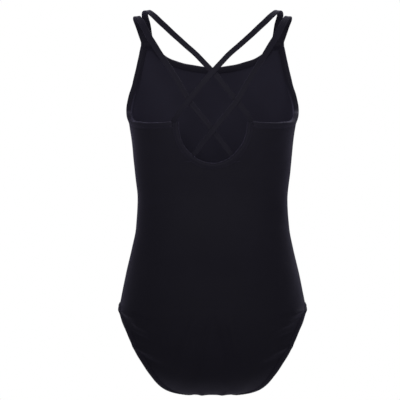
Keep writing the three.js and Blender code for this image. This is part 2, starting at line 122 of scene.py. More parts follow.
@dataclass(frozen=True)
class Chart:
    """A smooth curve through rows of (key, value, ...), which never overshoots them."""

    rows: Rows
    column: int = 1

    def at(self, key: np.ndarray | float) -> np.ndarray:
        """Reads the curve.

        Args:
            key: Where to read it, held within the first and last row.

        Returns:
            The value at each key.
        """
        keys = np.array([row[0] for row in self.rows], float)
        values = np.array([row[self.column] for row in self.rows], float)
        slope = np.diff(values) / np.diff(keys)
        before, after = slope[:-1], slope[1:]
        same_way = before * after > 0
        total = np.where(same_way, before + after, 1)
        inner = np.where(same_way, 2 * before * after / total, 0)
        tangent = np.concatenate([slope[:1], inner, slope[-1:]])
        at = np.clip(key, keys[0], keys[-1])
        span = np.clip(np.searchsorted(keys, at) - 1, 0, len(keys) - 2)
        width = np.diff(keys)[span]
        t = (at - keys[span]) / width
        return (
            values[span] * (1 + 2 * t) * (1 - t) ** 2
            + values[span + 1] * t * t * (3 - 2 * t)
            + width * t * (1 - t) * (tangent[span] * (1 - t) - tangent[span + 1] * t)
        )


RINGS: Rows = (
    (111, 121.5, 93, 72), (150, 113.8, 84, 74), (190, 104.6, 68, 74), (215, 99.7, 62, 72),
    (252, 97.5, 60, 70), (290, 101.4, 66, 70), (330, 105.3, 76, 74), (368, 111.2, 80, 77),
    (400, 114, 82, 73), (430, 124, 80, 64), (461, 136, 70, 50),
)
RING_WIDTH = Chart(RINGS, 1)
RING_DEPTH = {Face.BACK: Chart(RINGS, 2), Face.FRONT: Chart(RINGS, 3)}
REACH = {
    Face.BACK: Chart(((0, 93), (20, 97), (40, 105), (60, 113), (75, 114.5), (85, 113), (90, 111))),
    Face.FRONT: Chart(((0, 72), (20, 72), (40, 78), (60, 92), (75, 104), (90, 111))),
}
SQUARENESS = Chart(((0, 2.4), (90, 2.8)))
LEG_LINE = {
    Face.BACK: Chart((
        (0, 121.5), (20, 118), (30, 112), (45, 100), (55, 86.5), (65, 75), (75, 62),
        (80, 50), (84, 38.5), (87, 32), (90, 30),
    )),
    Face.FRONT: Chart(((0, 121.5), (15, 98), (30, 70), (45, 48), (60, 35), (75, 30), (90, 30))),
}
ARMHOLE = Chart((
    (-72, 350.8), (-45, 349.8), (-20, 351.8), (0, 364.2), (21, 392.3), (39, 424), (51.5, 457),
))
NECKLINE = Chart(((58, 457), (63, 442), (71, 432.8), (80, 427.3), (90, 423.8)))
TIP_START, TIP_END, CENTRE = 51.5, 58, 90  # degrees round from the side seam
HIP_LINE = 111.0
SCOOP_HALF_WIDTH, SCOOP_TOP, SCOOP_DEPTH = 46.2, 350.8, 53.4


@dataclass(frozen=True)
class Wrinkle:
    """A soft ridge or valley of the cloth, from one point to another as seen straight on."""

    face: Face
    start: tuple[float, float]
    end: tuple[float, float]
    width: float
    height: float
    bow: float = 0.12

    def rise(self, points: np.ndarray) -> np.ndarray:
        """Works out how far the wrinkle lifts the cloth.

        Args:
            points: Points on the form, in millimetres.

        Returns:
            The lift at each point, negative in a valley.
        """
        flat = points[:, [0, 2]]
        total = np.zeros(len(points))
        for mirror in (1, -1):
            start = np.array(self.start) * (mirror, 1)
            run = np.array(self.end) * (mirror, 1) - start
            length = np.hypot(*run)
            t = (flat - start) @ run / length**2
            gap = (flat - start) @ np.array([run[1], -run[0]]) / length - self.bow * length * t * (1 - t)
            spread = self.width * (0.75 + 0.5 * np.clip(t, 0, 1))
            fade = smooth_step(t, -0.2, 0.2) * (1 - smooth_step(t, 0.4, 1.2))
            total = total + self.height * fade * np.exp(-((gap / spread) ** 2))
        on_face = smooth_step(points[:, 1] * self.face.value, 2, 20)
        return total * on_face


def smooth_step(value: np.ndarray, low: float, high: float) -> np.ndarray:
    """Rises smoothly from 0 at low to 1 at high."""
    t = np.clip((value - low) / (high - low), 0, 1)
    return t * t * (3 - 2 * t)


WRINKLES = (
    Wrinkle(Face.BACK, (-119, 109), (-92, 97), 3.8, 2.9),
    Wrinkle(Face.BACK, (-101, 105), (-74, 94), 3.2, -2.1),
    Wrinkle(Face.BACK, (-101, 92), (-72, 80), 3.6, 2.7),
    Wrinkle(Face.BACK, (-101, 79), (-74, 66), 3.4, -2.2),
    Wrinkle(Face.BACK, (-100, 63), (-66, 49), 4.1, 2.6),
    Wrinkle(Face.BACK, (-86, 46), (-58, 36), 3.6, -1.4),
    Wrinkle(Face.BACK, (-22, 98), (-48, 12), 6.8, 2.6),
    Wrinkle(Face.BACK, (-4, 92), (-27, 8), 6.0, -2.2),
    Wrinkle(Face.BACK, (-18, 2), (-6, -6), 2.7, 1.0),
    Wrinkle(Face.BACK, (-92, 214), (-48, 205), 5.4, 1.1),
    Wrinkle(Face.BACK, (-88, 234), (-42, 244), 5.4, -0.8),
    Wrinkle(Face.FRONT, (-112, 116), (-70, 96), 4.5, 2.1),
    Wrinkle(Face.FRONT, (-96, 104), (-56, 78), 4.1, -1.3),
    Wrinkle(Face.FRONT, (-58, 60), (-30, 36), 4.0, 1.6),
    Wrinkle(Face.FRONT, (-90, 236), (-40, 246), 6.3, 1.1),
)


def unit(vectors: np.ndarray) -> np.ndarray:
    """The vectors, one a row, brought to a length of 1."""
    return vectors / np.linalg.norm(vectors, axis=1, keepdims=True)


def between(places: np.ndarray, keys: np.ndarray, points: np.ndarray) -> np.ndarray:
    """Reads points that lie at keys at places between them, in straight lines."""
    return np.stack([np.interp(places, keys, points[:, axis]) for axis in range(3)], axis=1)


class BodyForm:
    """The body that the garment is shaped on, and how the cloth lies over it."""

    def fullness(self, points: np.ndarray) -> np.ndarray:
        """Says how far out points are.

        Args:
            points: Points in millimetres, one a row.

        Returns:
            1 for a point on the form, less inside it and more outside it.
        """
        x, y, z = (points / GRADE).T
        drop = np.maximum(HIP_LINE - z, 0)
        below = drop > 0
        angle = np.where(below, np.degrees(np.arctan2(drop, np.abs(y))), 0)
        power = SQUARENESS.at(angle)
        in_front = y > 0
        reach = np.where(in_front, REACH[Face.FRONT].at(angle), REACH[Face.BACK].at(angle))
        ring = np.where(in_front, RING_DEPTH[Face.FRONT].at(z), RING_DEPTH[Face.BACK].at(z))
        depth = np.where(below, reach, ring)
        width = RING_WIDTH.at(np.maximum(z, HIP_LINE))
        across = (np.abs(x) / width) ** power
        return (across + (np.hypot(y, drop) / depth) ** power) ** (1 / power)

    def onto(self, points: np.ndarray) -> np.ndarray:
        """Moves points straight out from the middle of the form until they lie on it."""
        middle = np.zeros_like(points)
        middle[:, 2] = np.maximum(points[:, 2], HIP_LINE * GRADE[2])
        return (points - middle) / self.fullness(points)[:, None] + middle

    def outward(self, points: np.ndarray) -> np.ndarray:
        """The form's outward direction at points on it."""
        step = 0.05
        change = [
            self.fullness(points + step * axis) - self.fullness(points - step * axis) for axis in np.eye(3)
        ]
        return unit(np.stack(change, axis=1))

    def drape(self, points: np.ndarray) -> np.ndarray:
        """Works out how far the cloth stands off the form: its wrinkles and a faint cockle.

        Args:
            points: Points on the form, in millimetres.

        Returns:
            The distance outward at each point, the same for every layer.
        """
        lift = sum(wrinkle.rise(points) for wrinkle in WRINKLES)
        x, y, z = points.T
        around = x + 0.6 * y
        cockle = (
            np.sin(around / 9.1 + 1.7 * np.sin(z / 23)) * np.sin(z / 12.7 + 0.8)
            + 0.7 * np.sin(around / 5.3 - z / 8.9 + 2.1 * np.sin(z / 31))
        )
        return lift + 0.1 * cockle

    def layer(self, points: np.ndarray, height: np.ndarray | float) -> np.ndarray:
        """Places points at a height above the draped cloth.

        Args:
            points: Points near the form, in millimetres.
            height: How far outside the cloth's outer face each lies.

        Returns:
            The placed points.
        """
        on_form = self.onto(points)
        lift = self.drape(on_form) + height
        return on_form + self.outward(on_form) * np.broadcast_to(lift, len(points))[:, None]

    def ring_point(self, degrees: np.ndarray, height: np.ndarray, face: Face) -> np.ndarray:
        """Points above the hip line, by degrees round from the side seam and height."""
        power = 2 / SQUARENESS.at(0.0)
        turn = np.radians(degrees)
        x = RING_WIDTH.at(height) * np.cos(turn).clip(0) ** power
        y = face.value * RING_DEPTH[face].at(height) * np.sin(turn).clip(0) ** power
        return np.stack(np.broadcast_arrays(x, y, height), axis=-1) * GRADE

    def fan_point(self, degrees: np.ndarray, angle: np.ndarray, face: Face) -> np.ndarray:
        """Points below the hip line, by degrees round from the side and degrees turned down."""
        power = 2 / SQUARENESS.at(angle)
        turn, tilt = np.radians(degrees), np.radians(angle)
        out = REACH[face].at(angle) * np.sin(turn).clip(0) ** power
        x = RING_WIDTH.at(HIP_LINE) * np.cos(turn).clip(0) ** power
        y = face.value * out * np.cos(tilt)
        z = HIP_LINE - out * np.sin(tilt)
        return np.stack(np.broadcast_arrays(x, y, z), axis=-1) * GRADE

    def row_point(
        self, degrees: np.ndarray, angle: np.ndarray, height: np.ndarray, face: Face
    ) -> np.ndarray:
        """Points by degrees round, fanned below the hip line where the angle is more than 0."""
        fanned = self.fan_point(degrees, angle, face)
        ringed = self.ring_point(degrees, height, face)
        return np.where((angle > 0)[..., None], fanned, ringed)

    def girth(
        self, degrees: np.ndarray, angle: np.ndarray, height: np.ndarray, face: Face
    ) -> np.ndarray:
        """Measures round the form from the centre line.

        Args:
            degrees: Degrees round from the side seam.
            angle: Degrees turned down below the hip line.
            height: Height above the hip line, where the angle is 0.
            face: The half of the garment.

        Returns:
            The length of the way to each point, in millimetres.
        """
        shares = np.linspace(0, 1, 21)[:, None]
        path = self.row_point(90 + (degrees - 90) * shares, angle + 0 * shares, height + 0 * shares, face)
        return np.linalg.norm(np.diff(path, axis=0), axis=2).sum(axis=0)

    def degrees_at(self, half_width: np.ndarray, width: np.ndarray, angle: np.ndarray) -> np.ndarray:
        """Degrees round from the side seam of a point at a half width."""
        share = np.clip(half_width / width, 0, 1)
        return np.degrees(np.arccos(share ** (SQUARENESS.at(angle) / 2)))


FORM = BodyForm()


def run_along(path: np.ndarray) -> np.ndarray:
    """The length of the way to each point of a path, from 0 at the first."""
    return np.concatenate([[0], np.cumsum(np.linalg.norm(np.diff(path, axis=0), axis=1))])


def scoop_point(turn: np.ndarray) -> tuple[np.ndarray, np.ndarray]:
    """Half width and height of the scoop's cut edge, by degrees round from its corner."""
    tilt = np.radians(turn)
    return SCOOP_HALF_WIDTH * np.cos(tilt), SCOOP_TOP - SCOOP_DEPTH * np.sin(tilt)


# ---- Meshes --------------------------------------------------------------------------------------


def grid_object(name: str, across: int, up: int) -> tuple[bpy.types.Object, np.ndarray]:
    """Makes a flat grid to be shaped.

    Args:
        name: The piece's name.
        across: Number of faces across.
        up: Number of faces up.

    Returns:
        The object, and each vertex's place in the grid as shares (across, up).
    """
    sheet = bmesh.new()
    sheet.loops.layers.uv.new("UVMap")
    bmesh.ops.create_grid(sheet, x_segments=across, y_segments=up, size=0.5, calc_uvs=True)
    mesh = bpy.data.meshes.new(name)
    sheet.to_mesh(mesh)
    sheet.free()
    obj = bpy.data.objects.new(name, mesh)
    bpy.context.scene.collection.objects.link(obj)
    flat = np.empty(len(mesh.vertices) * 3)
    mesh.vertices.foreach_get("co", flat)
    shares = flat.reshape(-1, 3)[:, :2] + 0.5
    steps = np.array([across, up])
    return obj, np.round(shares * steps) / steps


def swept_grid(
    name: str, outline: np.ndarray, steps: int
) -> tuple[bpy.types.Object, np.ndarray, np.ndarray]:
    """Makes a flat grid to be rolled up along a path, a column for each side of an outline.

    Args:
        name: The piece's name.
        outline: Points round the section, the first repeated at the end.
        steps: Number of steps along the path.

    Returns:
        The object, each vertex's shares of the way (round, along), and its point of the outline.
    """
    sides = len(outline) - 1
    obj, shares = grid_object(name, sides, steps)
    return obj, shares, outline[np.round(shares[:, 0] * sides).astype(int)]


def to_frame(points: np.ndarray) -> np.ndarray:
    """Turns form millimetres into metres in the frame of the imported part."""
    return (points - np.array([0, 0, TORSO_MM])) * MM


def set_vertices(obj: bpy.types.Object, points: np.ndarray) -> None:
    """Moves every vertex of a piece to its place, in form millimetres."""
    obj.data.vertices.foreach_set("co", to_frame(points).astype(np.float32).ravel())
    obj.data.update()


def set_map(obj: bpy.types.Object, cloth: np.ndarray) -> None:
    """Writes each vertex's place on the cloth, in millimetres, as a map in metres."""
    corners = np.empty(len(obj.data.loops), np.int32)
    obj.data.loops.foreach_get("vertex_index", corners)
    obj.data.uv_layers[0].data.foreach_set("uv", (cloth[corners] * MM).astype(np.float32).ravel())


def set_cloth_map(obj: bpy.types.Object, shares: np.ndarray, points: np.ndarray) -> None:
    """Gives a piece a map in metres that follows its cloth.

    Args:
        obj: The piece, still a whole grid.
        shares: Each vertex's place in the grid.
        points: Each vertex's place in form millimetres.
    """
    order = np.lexsort((shares[:, 0], shares[:, 1]))
    across = len(np.unique(np.round(shares[:, 0], 6)))
    grid = points[order].reshape(-1, across, 3)
    run = np.cumsum(np.linalg.norm(np.diff(grid, axis=1), axis=2), axis=1)
    run = np.concatenate([np.zeros((len(grid), 1)), run], axis=1)
    run -= run[:, across // 2][:, None]
    rise = np.cumsum(np.linalg.norm(np.diff(grid, axis=0), axis=2).mean(axis=1))
    rise = np.broadcast_to(np.concatenate([[0], rise])[:, None], run.shape)
    cloth = np.empty((len(points), 2))
    cloth[order] = np.stack([run.ravel(), rise.ravel()], axis=1)
    set_map(obj, cloth)


def close_up(obj: bpy.types.Object) -> None:
    """Joins the touching sides of a rolled-up grid, closes its ends and faces it outward."""
    shell = bmesh.new()
    shell.from_mesh(obj.data)
    bmesh.ops.remove_doubles(shell, verts=shell.verts, dist=1e-6)
    bmesh.ops.holes_fill(shell, edges=[e for e in shell.edges if e.is_boundary], sides=0)
    bmesh.ops.recalc_face_normals(shell, faces=shell.faces)
    shell.to_mesh(obj.data)
    shell.free()


def face_outward(obj: bpy.types.Object, points: np.ndarray) -> None:
    """Turns an open sheet's faces away from the body if they point at it."""
    obj.data.update()
    normals = np.empty(len(obj.data.vertices) * 3)
    obj.data.vertices.foreach_get("normal", normals)
    if (normals.reshape(-1, 3) * FORM.outward(FORM.onto(points))).sum() < 0:
        sheet = bmesh.new()
        sheet.from_mesh(obj.data)
        bmesh.ops.reverse_faces(sheet, faces=sheet.faces)
        sheet.to_mesh(obj.data)
        sheet.free()


def thicken(obj: bpy.types.Object, thickness: float) -> None:
    """Gives an open sheet its thickness in millimetres, inward from its outer face."""
    wall = obj.modifiers.new("thickness", "SOLIDIFY")
    wall.thickness = thickness * MM
    wall.offset = -1


def smooth(obj: bpy.types.Object) -> None:
    """Shades a piece smooth."""
    obj.data.polygons.foreach_set("use_smooth", [True] * len(obj.data.polygons))


def settle(
    obj: bpy.types.Object, material: bpy.types.Material, replaced: tuple[str, ...],
    body: str = GARMENT_BODY,
) -> None:
    """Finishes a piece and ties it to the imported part.

    Args:
        obj: The piece.
        material: Its finish.
        replaced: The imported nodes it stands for, if any.
        body: The body it moves with.
    """
    smooth(obj)
    obj.data.materials.append(material)
    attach(obj, body)
    if replaced:
        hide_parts(*replaced)
    LOG.info("%s: %d faces, stands for %s", obj.name, len(obj.data.polygons), ", ".join(replaced) or "none")


@dataclass(frozen=True)
class ClothCut:
    """What a sheet was cut to: its width and length in metres, its area, and what it lies on."""

    flat: tuple[float, float]
    area: float | None
    rests_on: tuple[str, ...]
    held: str = "stretched"


class Piece:
    """What the garment's pieces share. Each class of piece shapes its mesh in build."""

    name: str
    slot: str
    replaced: tuple[str, ...]
    obj: bpy.types.Object

    def roll_up(self, obj: bpy.types.Object, shares: np.ndarray, placed: np.ndarray, side: "Side") -> None:
        """Puts a grid that was rolled into a tube in its place and closes it.

        Args:
            obj: The grid.
            shares: Each vertex's place in it.
            placed: Each vertex's place in form millimetres, as on the wearer's right.
            side: The side that the piece is for.
        """
        placed[:, 0] *= side.value
        set_vertices(obj, placed)
        set_cloth_map(obj, shares, placed)
        close_up(obj)
        self.obj = obj

    def declare(self, cut: ClothCut) -> None:
        """Does nothing: the cut it is given is not used."""

    def dress(self, materials: dict[str, bpy.types.Material]) -> None:
        """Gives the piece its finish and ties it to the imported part."""
        settle(self.obj, materials[self.slot], self.replaced)


# ---- Finishes ------------------------------------------------------------------------------------


class Nodes:
    """A short way to add and join the nodes of one tree."""

    def __init__(self, tree: bpy.types.NodeTree) -> None:
        """Starts on a tree."""
        self.tree = tree

    def add(self, kind: str, **settings: object) -> bpy.types.Node:
        """Adds a node and sets its settings."""
        node = self.tree.nodes.new(kind)
        for name, value in settings.items():
            setattr(node, name, value)
        return node

    def join(self, source: bpy.types.NodeSocket, target: bpy.types.NodeSocket) -> None:
        """Joins two sockets."""
        self.tree.links.new(source, target)

    def fill(self, node: bpy.types.Node, **inputs: object) -> bpy.types.Node:
        """Gives a node's inputs, each a socket to join or a constant, by name with _ for a space."""
        for name, value in inputs.items():
            socket = node.inputs[name.replace("_", " ")]
            if isinstance(value, bpy.types.NodeSocket):
                self.join(value, socket)
            else:
                socket.default_value = value
        return node

    def maths(
        self, operation: str, first: bpy.types.NodeSocket | float, second: bpy.types.NodeSocket | float = 0.0
    ) -> bpy.types.NodeSocket:
        """Adds a sum of one or two values.

        Args:
            operation: The Math node's operation.
            first: A socket or a number.
            second: A socket or a number.

        Returns:
            The result's socket.
        """
        node = self.add("ShaderNodeMath", operation=operation)
        for socket, value in zip(node.inputs, (first, second)):
            if isinstance(value, bpy.types.NodeSocket):
                self.join(value, socket)
            else:
                socket.default_value = value
        return node.outputs[0]


def new_group(name: str, inputs: dict[str, str], outputs: dict[str, str]) -> bpy.types.NodeTree:
    """Starts a shader node group.

    Args:
        name: The group's name.
        inputs: Socket type of each input by name.
        outputs: Socket type of each output by name.

    Returns:
        The group's tree, with nothing inside yet.
    """
    tree = bpy.data.node_groups.new(name, "ShaderNodeTree")
    for direction, sockets in (("INPUT", inputs), ("OUTPUT", outputs)):
        for socket, kind in sockets.items():
            tree.interface.new_socket(socket, in_out=direction, socket_type=kind)
    return tree


VALUE, VECTOR = "NodeSocketFloat", "NodeSocketVector"


def knit_relief_group() -> bpy.types.NodeTree:
    """Builds the group that draws knitted stitches along a cloth's map.

    Returns:
        The group: Height of the stitches, and Furrow, which is 1 between the wales.
    """
    tree = new_group(
        "knit_relief",
        {"Cloth": VECTOR, "Wales per metre": VALUE, "Courses per metre": VALUE},
        {"Height": VALUE, "Furrow": VALUE},
    )
    nodes = Nodes(tree)
    given = nodes.add("NodeGroupInput")
    result = nodes.add("NodeGroupOutput")
    parts = nodes.add("ShaderNodeSeparateXYZ")
    nodes.join(given.outputs["Cloth"], parts.inputs[0])
    wale = nodes.maths("MULTIPLY", parts.outputs["X"], given.outputs["Wales per metre"])
    course = nodes.maths("MULTIPLY", parts.outputs["Y"], given.outputs["Courses per metre"])
    across = nodes.maths("ABSOLUTE", nodes.maths("SUBTRACT", nodes.maths("FRACT", wale), 0.5))
    slant = nodes.maths("ADD", course, across)
    loops = nodes.maths("SINE", nodes.maths("MULTIPLY", slant, 2 * math.pi))
    crown = nodes.maths("COSINE", nodes.maths("MULTIPLY", across, math.pi))
    stitch = nodes.maths("MULTIPLY", nodes.maths("ADD", nodes.maths("MULTIPLY", loops, 0.35), 0.65), crown)
    nodes.fill(result, Height=stitch, Furrow=nodes.maths("SUBTRACT", 1.0, crown))
    return tree


def cloth_mottle_group() -> bpy.types.NodeTree:
    """Builds the group that varies a cloth's colour and lay.

    Returns:
        The group: Shade, a broad and a fine unevenness from 0 to 1, and Fuzz, single fibres.
    """
    tree = new_group("cloth_mottle", {"Broad": VALUE, "Fine": VALUE}, {"Shade": VALUE, "Fuzz": VALUE})
    nodes = Nodes(tree)
    given = nodes.add("NodeGroupInput")
    result = nodes.add("NodeGroupOutput")
    place = nodes.add("ShaderNodeTexCoord")
    noises = []
    for share in ("Broad", "Fine"):
        noise = nodes.fill(
            nodes.add("ShaderNodeTexNoise"), Vector=place.outputs["Object"], Scale=given.outputs[share],
            Detail=3, Roughness=0.55,
        )
        noises.append(noise.outputs["Fac"])
    broad, fine = nodes.maths("MULTIPLY", noises[0], 0.65), nodes.maths("MULTIPLY", noises[1], 0.35)
    shade = nodes.maths("ADD", broad, fine)
    nodes.fill(result, Shade=shade, Fuzz=noises[1])
    return tree


Colour = tuple[float, float, float]


@dataclass(frozen=True)
class ClothFinish:
    """A knitted or woven cloth: two shades, the size of its stitches, and how it takes light."""

    name: str
    dark: Colour
    light: Colour
    wales_per_metre: float
    courses_per_metre: float
    relief: float
    roughness: float
    sheen: float
    unevenness: float = 0.07
    sheen_tint: Colour = (0.66, 0.6, 1.0)
    sheen_roughness: float = 0.42
    specular: float = 0.1
    broad: float = 26.0
    fine: float = 900.0

    def make(self, relief_group: bpy.types.NodeTree, mottle_group: bpy.types.NodeTree) -> bpy.types.Material:
        """Builds the material.

        Args:
            relief_group: Draws the stitches.
            mottle_group: Varies the colour.

        Returns:
            The material.
        """
        material = bpy.data.materials.new(self.name)
        material.use_nodes = True
        nodes = Nodes(material.node_tree)
        shader = material.node_tree.nodes["Principled BSDF"]
        place = nodes.add("ShaderNodeTexCoord")
        relief = nodes.fill(
            nodes.add("ShaderNodeGroup", node_tree=relief_group), Cloth=place.outputs["UV"],
            Wales_per_metre=self.wales_per_metre, Courses_per_metre=self.courses_per_metre,
        ).outputs
        mottle = nodes.fill(
            nodes.add("ShaderNodeGroup", node_tree=mottle_group), Broad=self.broad, Fine=self.fine
        ).outputs
        # Painted shade: the furrows between the wales are coloured darker, as shade would fall in them.
        furrow_painted_shade = nodes.maths("MULTIPLY", relief["Furrow"], 0.35)
        share = nodes.maths("SUBTRACT", mottle["Shade"], furrow_painted_shade)
        share.node.use_clamp = True
        mix = nodes.fill(
            nodes.add("ShaderNodeMix", data_type="RGBA"), A=(*self.dark, 1), B=(*self.light, 1), Factor=share
        )
        rough = nodes.fill(
            nodes.add("ShaderNodeMapRange"), Value=mottle["Shade"],
            To_Min=self.roughness - self.unevenness, To_Max=self.roughness + self.unevenness,
        )
        fuzz = nodes.maths("MULTIPLY", mottle["Fuzz"], 0.5)
        bump = nodes.fill(
            nodes.add("ShaderNodeBump"), Height=nodes.maths("ADD", relief["Height"], fuzz),
            Strength=0.6, Distance=self.relief,
        )
        nodes.fill(
            shader, Base_Color=mix.outputs["Result"], Roughness=rough.outputs["Result"],
            Normal=bump.outputs["Normal"], Sheen_Weight=self.sheen, Sheen_Roughness=self.sheen_roughness,
            Sheen_Tint=(*self.sheen_tint, 1), Specular_IOR_Level=self.specular,
        )
        material.diffuse_color = (*self.light, 1)
        return material


FINISHES = {
    "knit": ClothFinish(
        name="black_stretch_knit", dark=(0.0062, 0.0055, 0.0098), light=(0.0105, 0.0095, 0.0162),
        wales_per_metre=1900, courses_per_metre=2300, relief=0.0001, roughness=0.72, sheen=0.11,
    ),
    "trim": ClothFinish(
        name="black_binding_knit", dark=(0.0074, 0.0066, 0.0118), light=(0.0121, 0.011, 0.0188),
        wales_per_metre=1700, courses_per_metre=2100, relief=0.00012, roughness=0.68, sheen=0.12,
    ),
    # Painted light: the lining's two shades are lighter than the outer knit partly because the lining is a
    # lighter, matter fabric and partly as painted light, standing in for the light that reaches the inside
    # of the garment.
    "lining": ClothFinish(
        name="black_tricot_lining", dark=(0.0143, 0.0129, 0.0222), light=(0.02, 0.0184, 0.0312),
        wales_per_metre=2600, courses_per_metre=3100, relief=0.00006, roughness=0.8, sheen=0.12,
    ),
    "elastic": ClothFinish(
        name="black_woven_elastic", dark=(0.012, 0.0115, 0.015), light=(0.022, 0.0215, 0.026),
        wales_per_metre=1400, courses_per_metre=900, relief=0.00015, roughness=0.6, sheen=0.08,
    ),
    "thread": ClothFinish(
        name="black_textured_thread", dark=(0.010, 0.0088, 0.0155), light=(0.019, 0.017, 0.028),
        wales_per_metre=9000, courses_per_metre=2200, relief=0.00003, roughness=0.5, sheen=0.15,
    ),
    "label": ClothFinish(
        name="blank_satin_ribbon", dark=(0.70, 0.69, 0.64), light=(0.86, 0.85, 0.81),
        wales_per_metre=5200, courses_per_metre=3600, relief=0.00003, roughness=0.42, sheen=0.3,
        sheen_tint=(1.0, 0.98, 0.94),
    ),
}


# ---- Panels and linings --------------------------------------------------------------------------


@dataclass
class ClothPanel(Piece):
    """One layer of cloth over the front or the back, from the crotch seam to its top edge."""

    name: str
    face: Face
    depth: float
    thickness: float
    replaced: tuple[str, ...]
    slot: str
    cut: ClothCut
    lowest_angle: float = 90.0
    leg_inset: float = 0.0
    side_inset: float = 0.0
    columns_per_side: int = 92
    lower_rows: int = 88
    upper_rows: int = 132
    seam_pinch: float = 0.7
    seam_reach: float = 1.7
    seam_lap: float = 0.15
    obj: bpy.types.Object = field(init=False)

    def top_parts(self) -> list[tuple[np.ndarray, np.ndarray]]:
        """Traces the top edge of one side, part by part between its corners.

        Returns:
            Degrees round and heights along each part, from the side seam to the centre.
        """
        if self.face is Face.FRONT:
            armhole, tip = np.linspace(0, TIP_START, 200), np.linspace(TIP_START, TIP_END, 20)
            neck = np.linspace(TIP_END, CENTRE, 200)
            return [(armhole, ARMHOLE.at(armhole)), (tip, NECKLINE.at(tip)), (neck, NECKLINE.at(neck))]
        half_width, top = scoop_point(np.linspace(0, 90, 200))
        scoop = FORM.degrees_at(half_width, RING_WIDTH.at(top), 0.0)
        band = np.linspace(0, scoop[0], 200)
        return [(band, ARMHOLE.at(-band)), (scoop, top)]

    def columns(self) -> tuple[np.ndarray, np.ndarray, np.ndarray]:
        """Spaces the columns of one side evenly along the top edge and round the hips.

        Returns:
            Degrees round at the hip line, degrees round at the top, and height at the top.
        """
        parts = self.top_parts()
        runs = [run_along(FORM.ring_point(degrees, height, self.face)) for degrees, height in parts]
        total = sum(run[-1] for run in runs)
        counts = [max(2, round(self.columns_per_side * run[-1] / total)) for run in runs]
        degrees, heights = [0.0], [float(parts[0][1][0])]
        for (turns, tops), run, count in zip(parts, runs, counts):
            places = np.linspace(0, run[-1], count + 1)[1:]
            degrees.extend(np.interp(places, run, turns))
            heights.extend(np.interp(places, run, tops))
        fine = np.linspace(0, CENTRE, 400)
        run = run_along(FORM.ring_point(fine, np.full_like(fine, HIP_LINE), self.face))
        hip_degrees = np.interp(np.linspace(0, run[-1], len(degrees)), run, fine)
        return hip_degrees, np.array(degrees), np.array(heights)

    def centre_run(self, angle: np.ndarray, height: np.ndarray) -> np.ndarray:
        """Measures up the centre line to the height of points.

        Args:
            angle: Degrees turned down below the hip line.
            height: Height above the hip line, where the angle is 0.

        Returns:
            Millimetres above the hip line, less than 0 below it.
        """
        angles, heights = np.linspace(0, 90, 91), np.linspace(HIP_LINE, 460, 200)
        hip = np.full_like(angles, HIP_LINE)
        falls = run_along(FORM.row_point(np.full_like(angles, CENTRE), angles, hip, self.face))
        rises = run_along(FORM.ring_point(np.full_like(heights, CENTRE), heights, self.face))
        return np.where(angle > 0, -np.interp(angle, angles, falls), np.interp(height, heights, rises))

    def build(self) -> None:
        """Shapes the sheet."""
        hip_degrees, top_degrees, top = self.columns()
        half, up = len(top) - 1, self.lower_rows + self.upper_rows
        obj, shares = grid_object(self.name, 2 * half, up)
        across = np.round(shares[:, 0] * 2 * half).astype(int)
        column = np.minimum(across, 2 * half - across)
        row = shares[:, 1] * up
        angle = self.lowest_angle * np.clip(1 - row / self.lower_rows, 0, 1)
        rise = np.clip((row - self.lower_rows) / self.upper_rows, 0, 1)
        edge = self.edge_degrees(angle)
        fanned = edge + (90 - edge) * hip_degrees[column] / 90
        height = HIP_LINE + rise * (top[column] - HIP_LINE)
        side = (self.side_inset / RING_DEPTH[self.face].at(height)) ** (SQUARENESS.at(0.0) / 2)
        ringed = hip_degrees[column] + (top_degrees - hip_degrees)[column] * rise
        turn = np.where(angle > 0, fanned, np.maximum(ringed, np.degrees(np.arcsin(side))))
        points = FORM.row_point(turn, angle, height, self.face)
        hand = np.where(across < half, self.face.value, -self.face.value)
        points[:, 0] *= hand
        round_form = -hand * FORM.girth(turn, angle, height, self.face)
        cloth = np.stack([round_form, self.centre_run(angle, height)], axis=1)
        pinch = self.seam_pinch * np.exp(-((points[:, 1] / self.seam_reach) ** 2))
        placed = FORM.layer(points, -self.depth - (pinch if self.side_inset == 0 else 0))
        ahead = np.maximum(placed[:, 1] * self.face.value, 0)
        placed[:, 1] = self.face.value * (ahead - self.seam_lap * np.exp(-((ahead / 0.6) ** 2)))
        set_vertices(obj, placed)
        set_map(obj, cloth)
        face_outward(obj, placed)
        thicken(obj, self.thickness)
        self.obj = obj

    def edge_degrees(self, angle: np.ndarray) -> np.ndarray:
        """Degrees round of the leg edge at each angle of the fan, drawn in by the inset."""
        line = LEG_LINE[self.face].at(angle) - self.leg_inset
        return FORM.degrees_at(line, RING_WIDTH.at(HIP_LINE), angle)

    def dress(self, materials: dict[str, bpy.types.Material]) -> None:
        """Gives the sheet its finish."""
        super().dress(materials)
        self.declare(self.cut)


@dataclass
class FormPatch(Piece):
    """A small closed piece lying on the inside of the garment: a seam or the gusset."""

    name: str
    depth: float
    thickness: float
    replaced: tuple[str, ...]
    slot: str
    corners: np.ndarray
    cut: ClothCut | None = None
    obj: bpy.types.Object = field(init=False)

    def build(self) -> None:
        """Shapes the patch from its grid of points in form millimetres."""
        up, across = self.corners.shape[0] - 1, self.corners.shape[1] - 1
        obj, shares = grid_object(self.name, across, up)
        index = np.round(shares * (across, up)).astype(int)
        placed = FORM.layer(self.corners[index[:, 1], index[:, 0]], -self.depth)
        set_vertices(obj, placed)
        set_cloth_map(obj, shares, placed)
        face_outward(obj, placed)
        thicken(obj, self.thickness)
        self.obj = obj

    def dress(self, materials: dict[str, bpy.types.Material]) -> None:
        """Gives the patch its finish."""
        super().dress(materials)
        if self.cut:
            self.declare(self.cut)


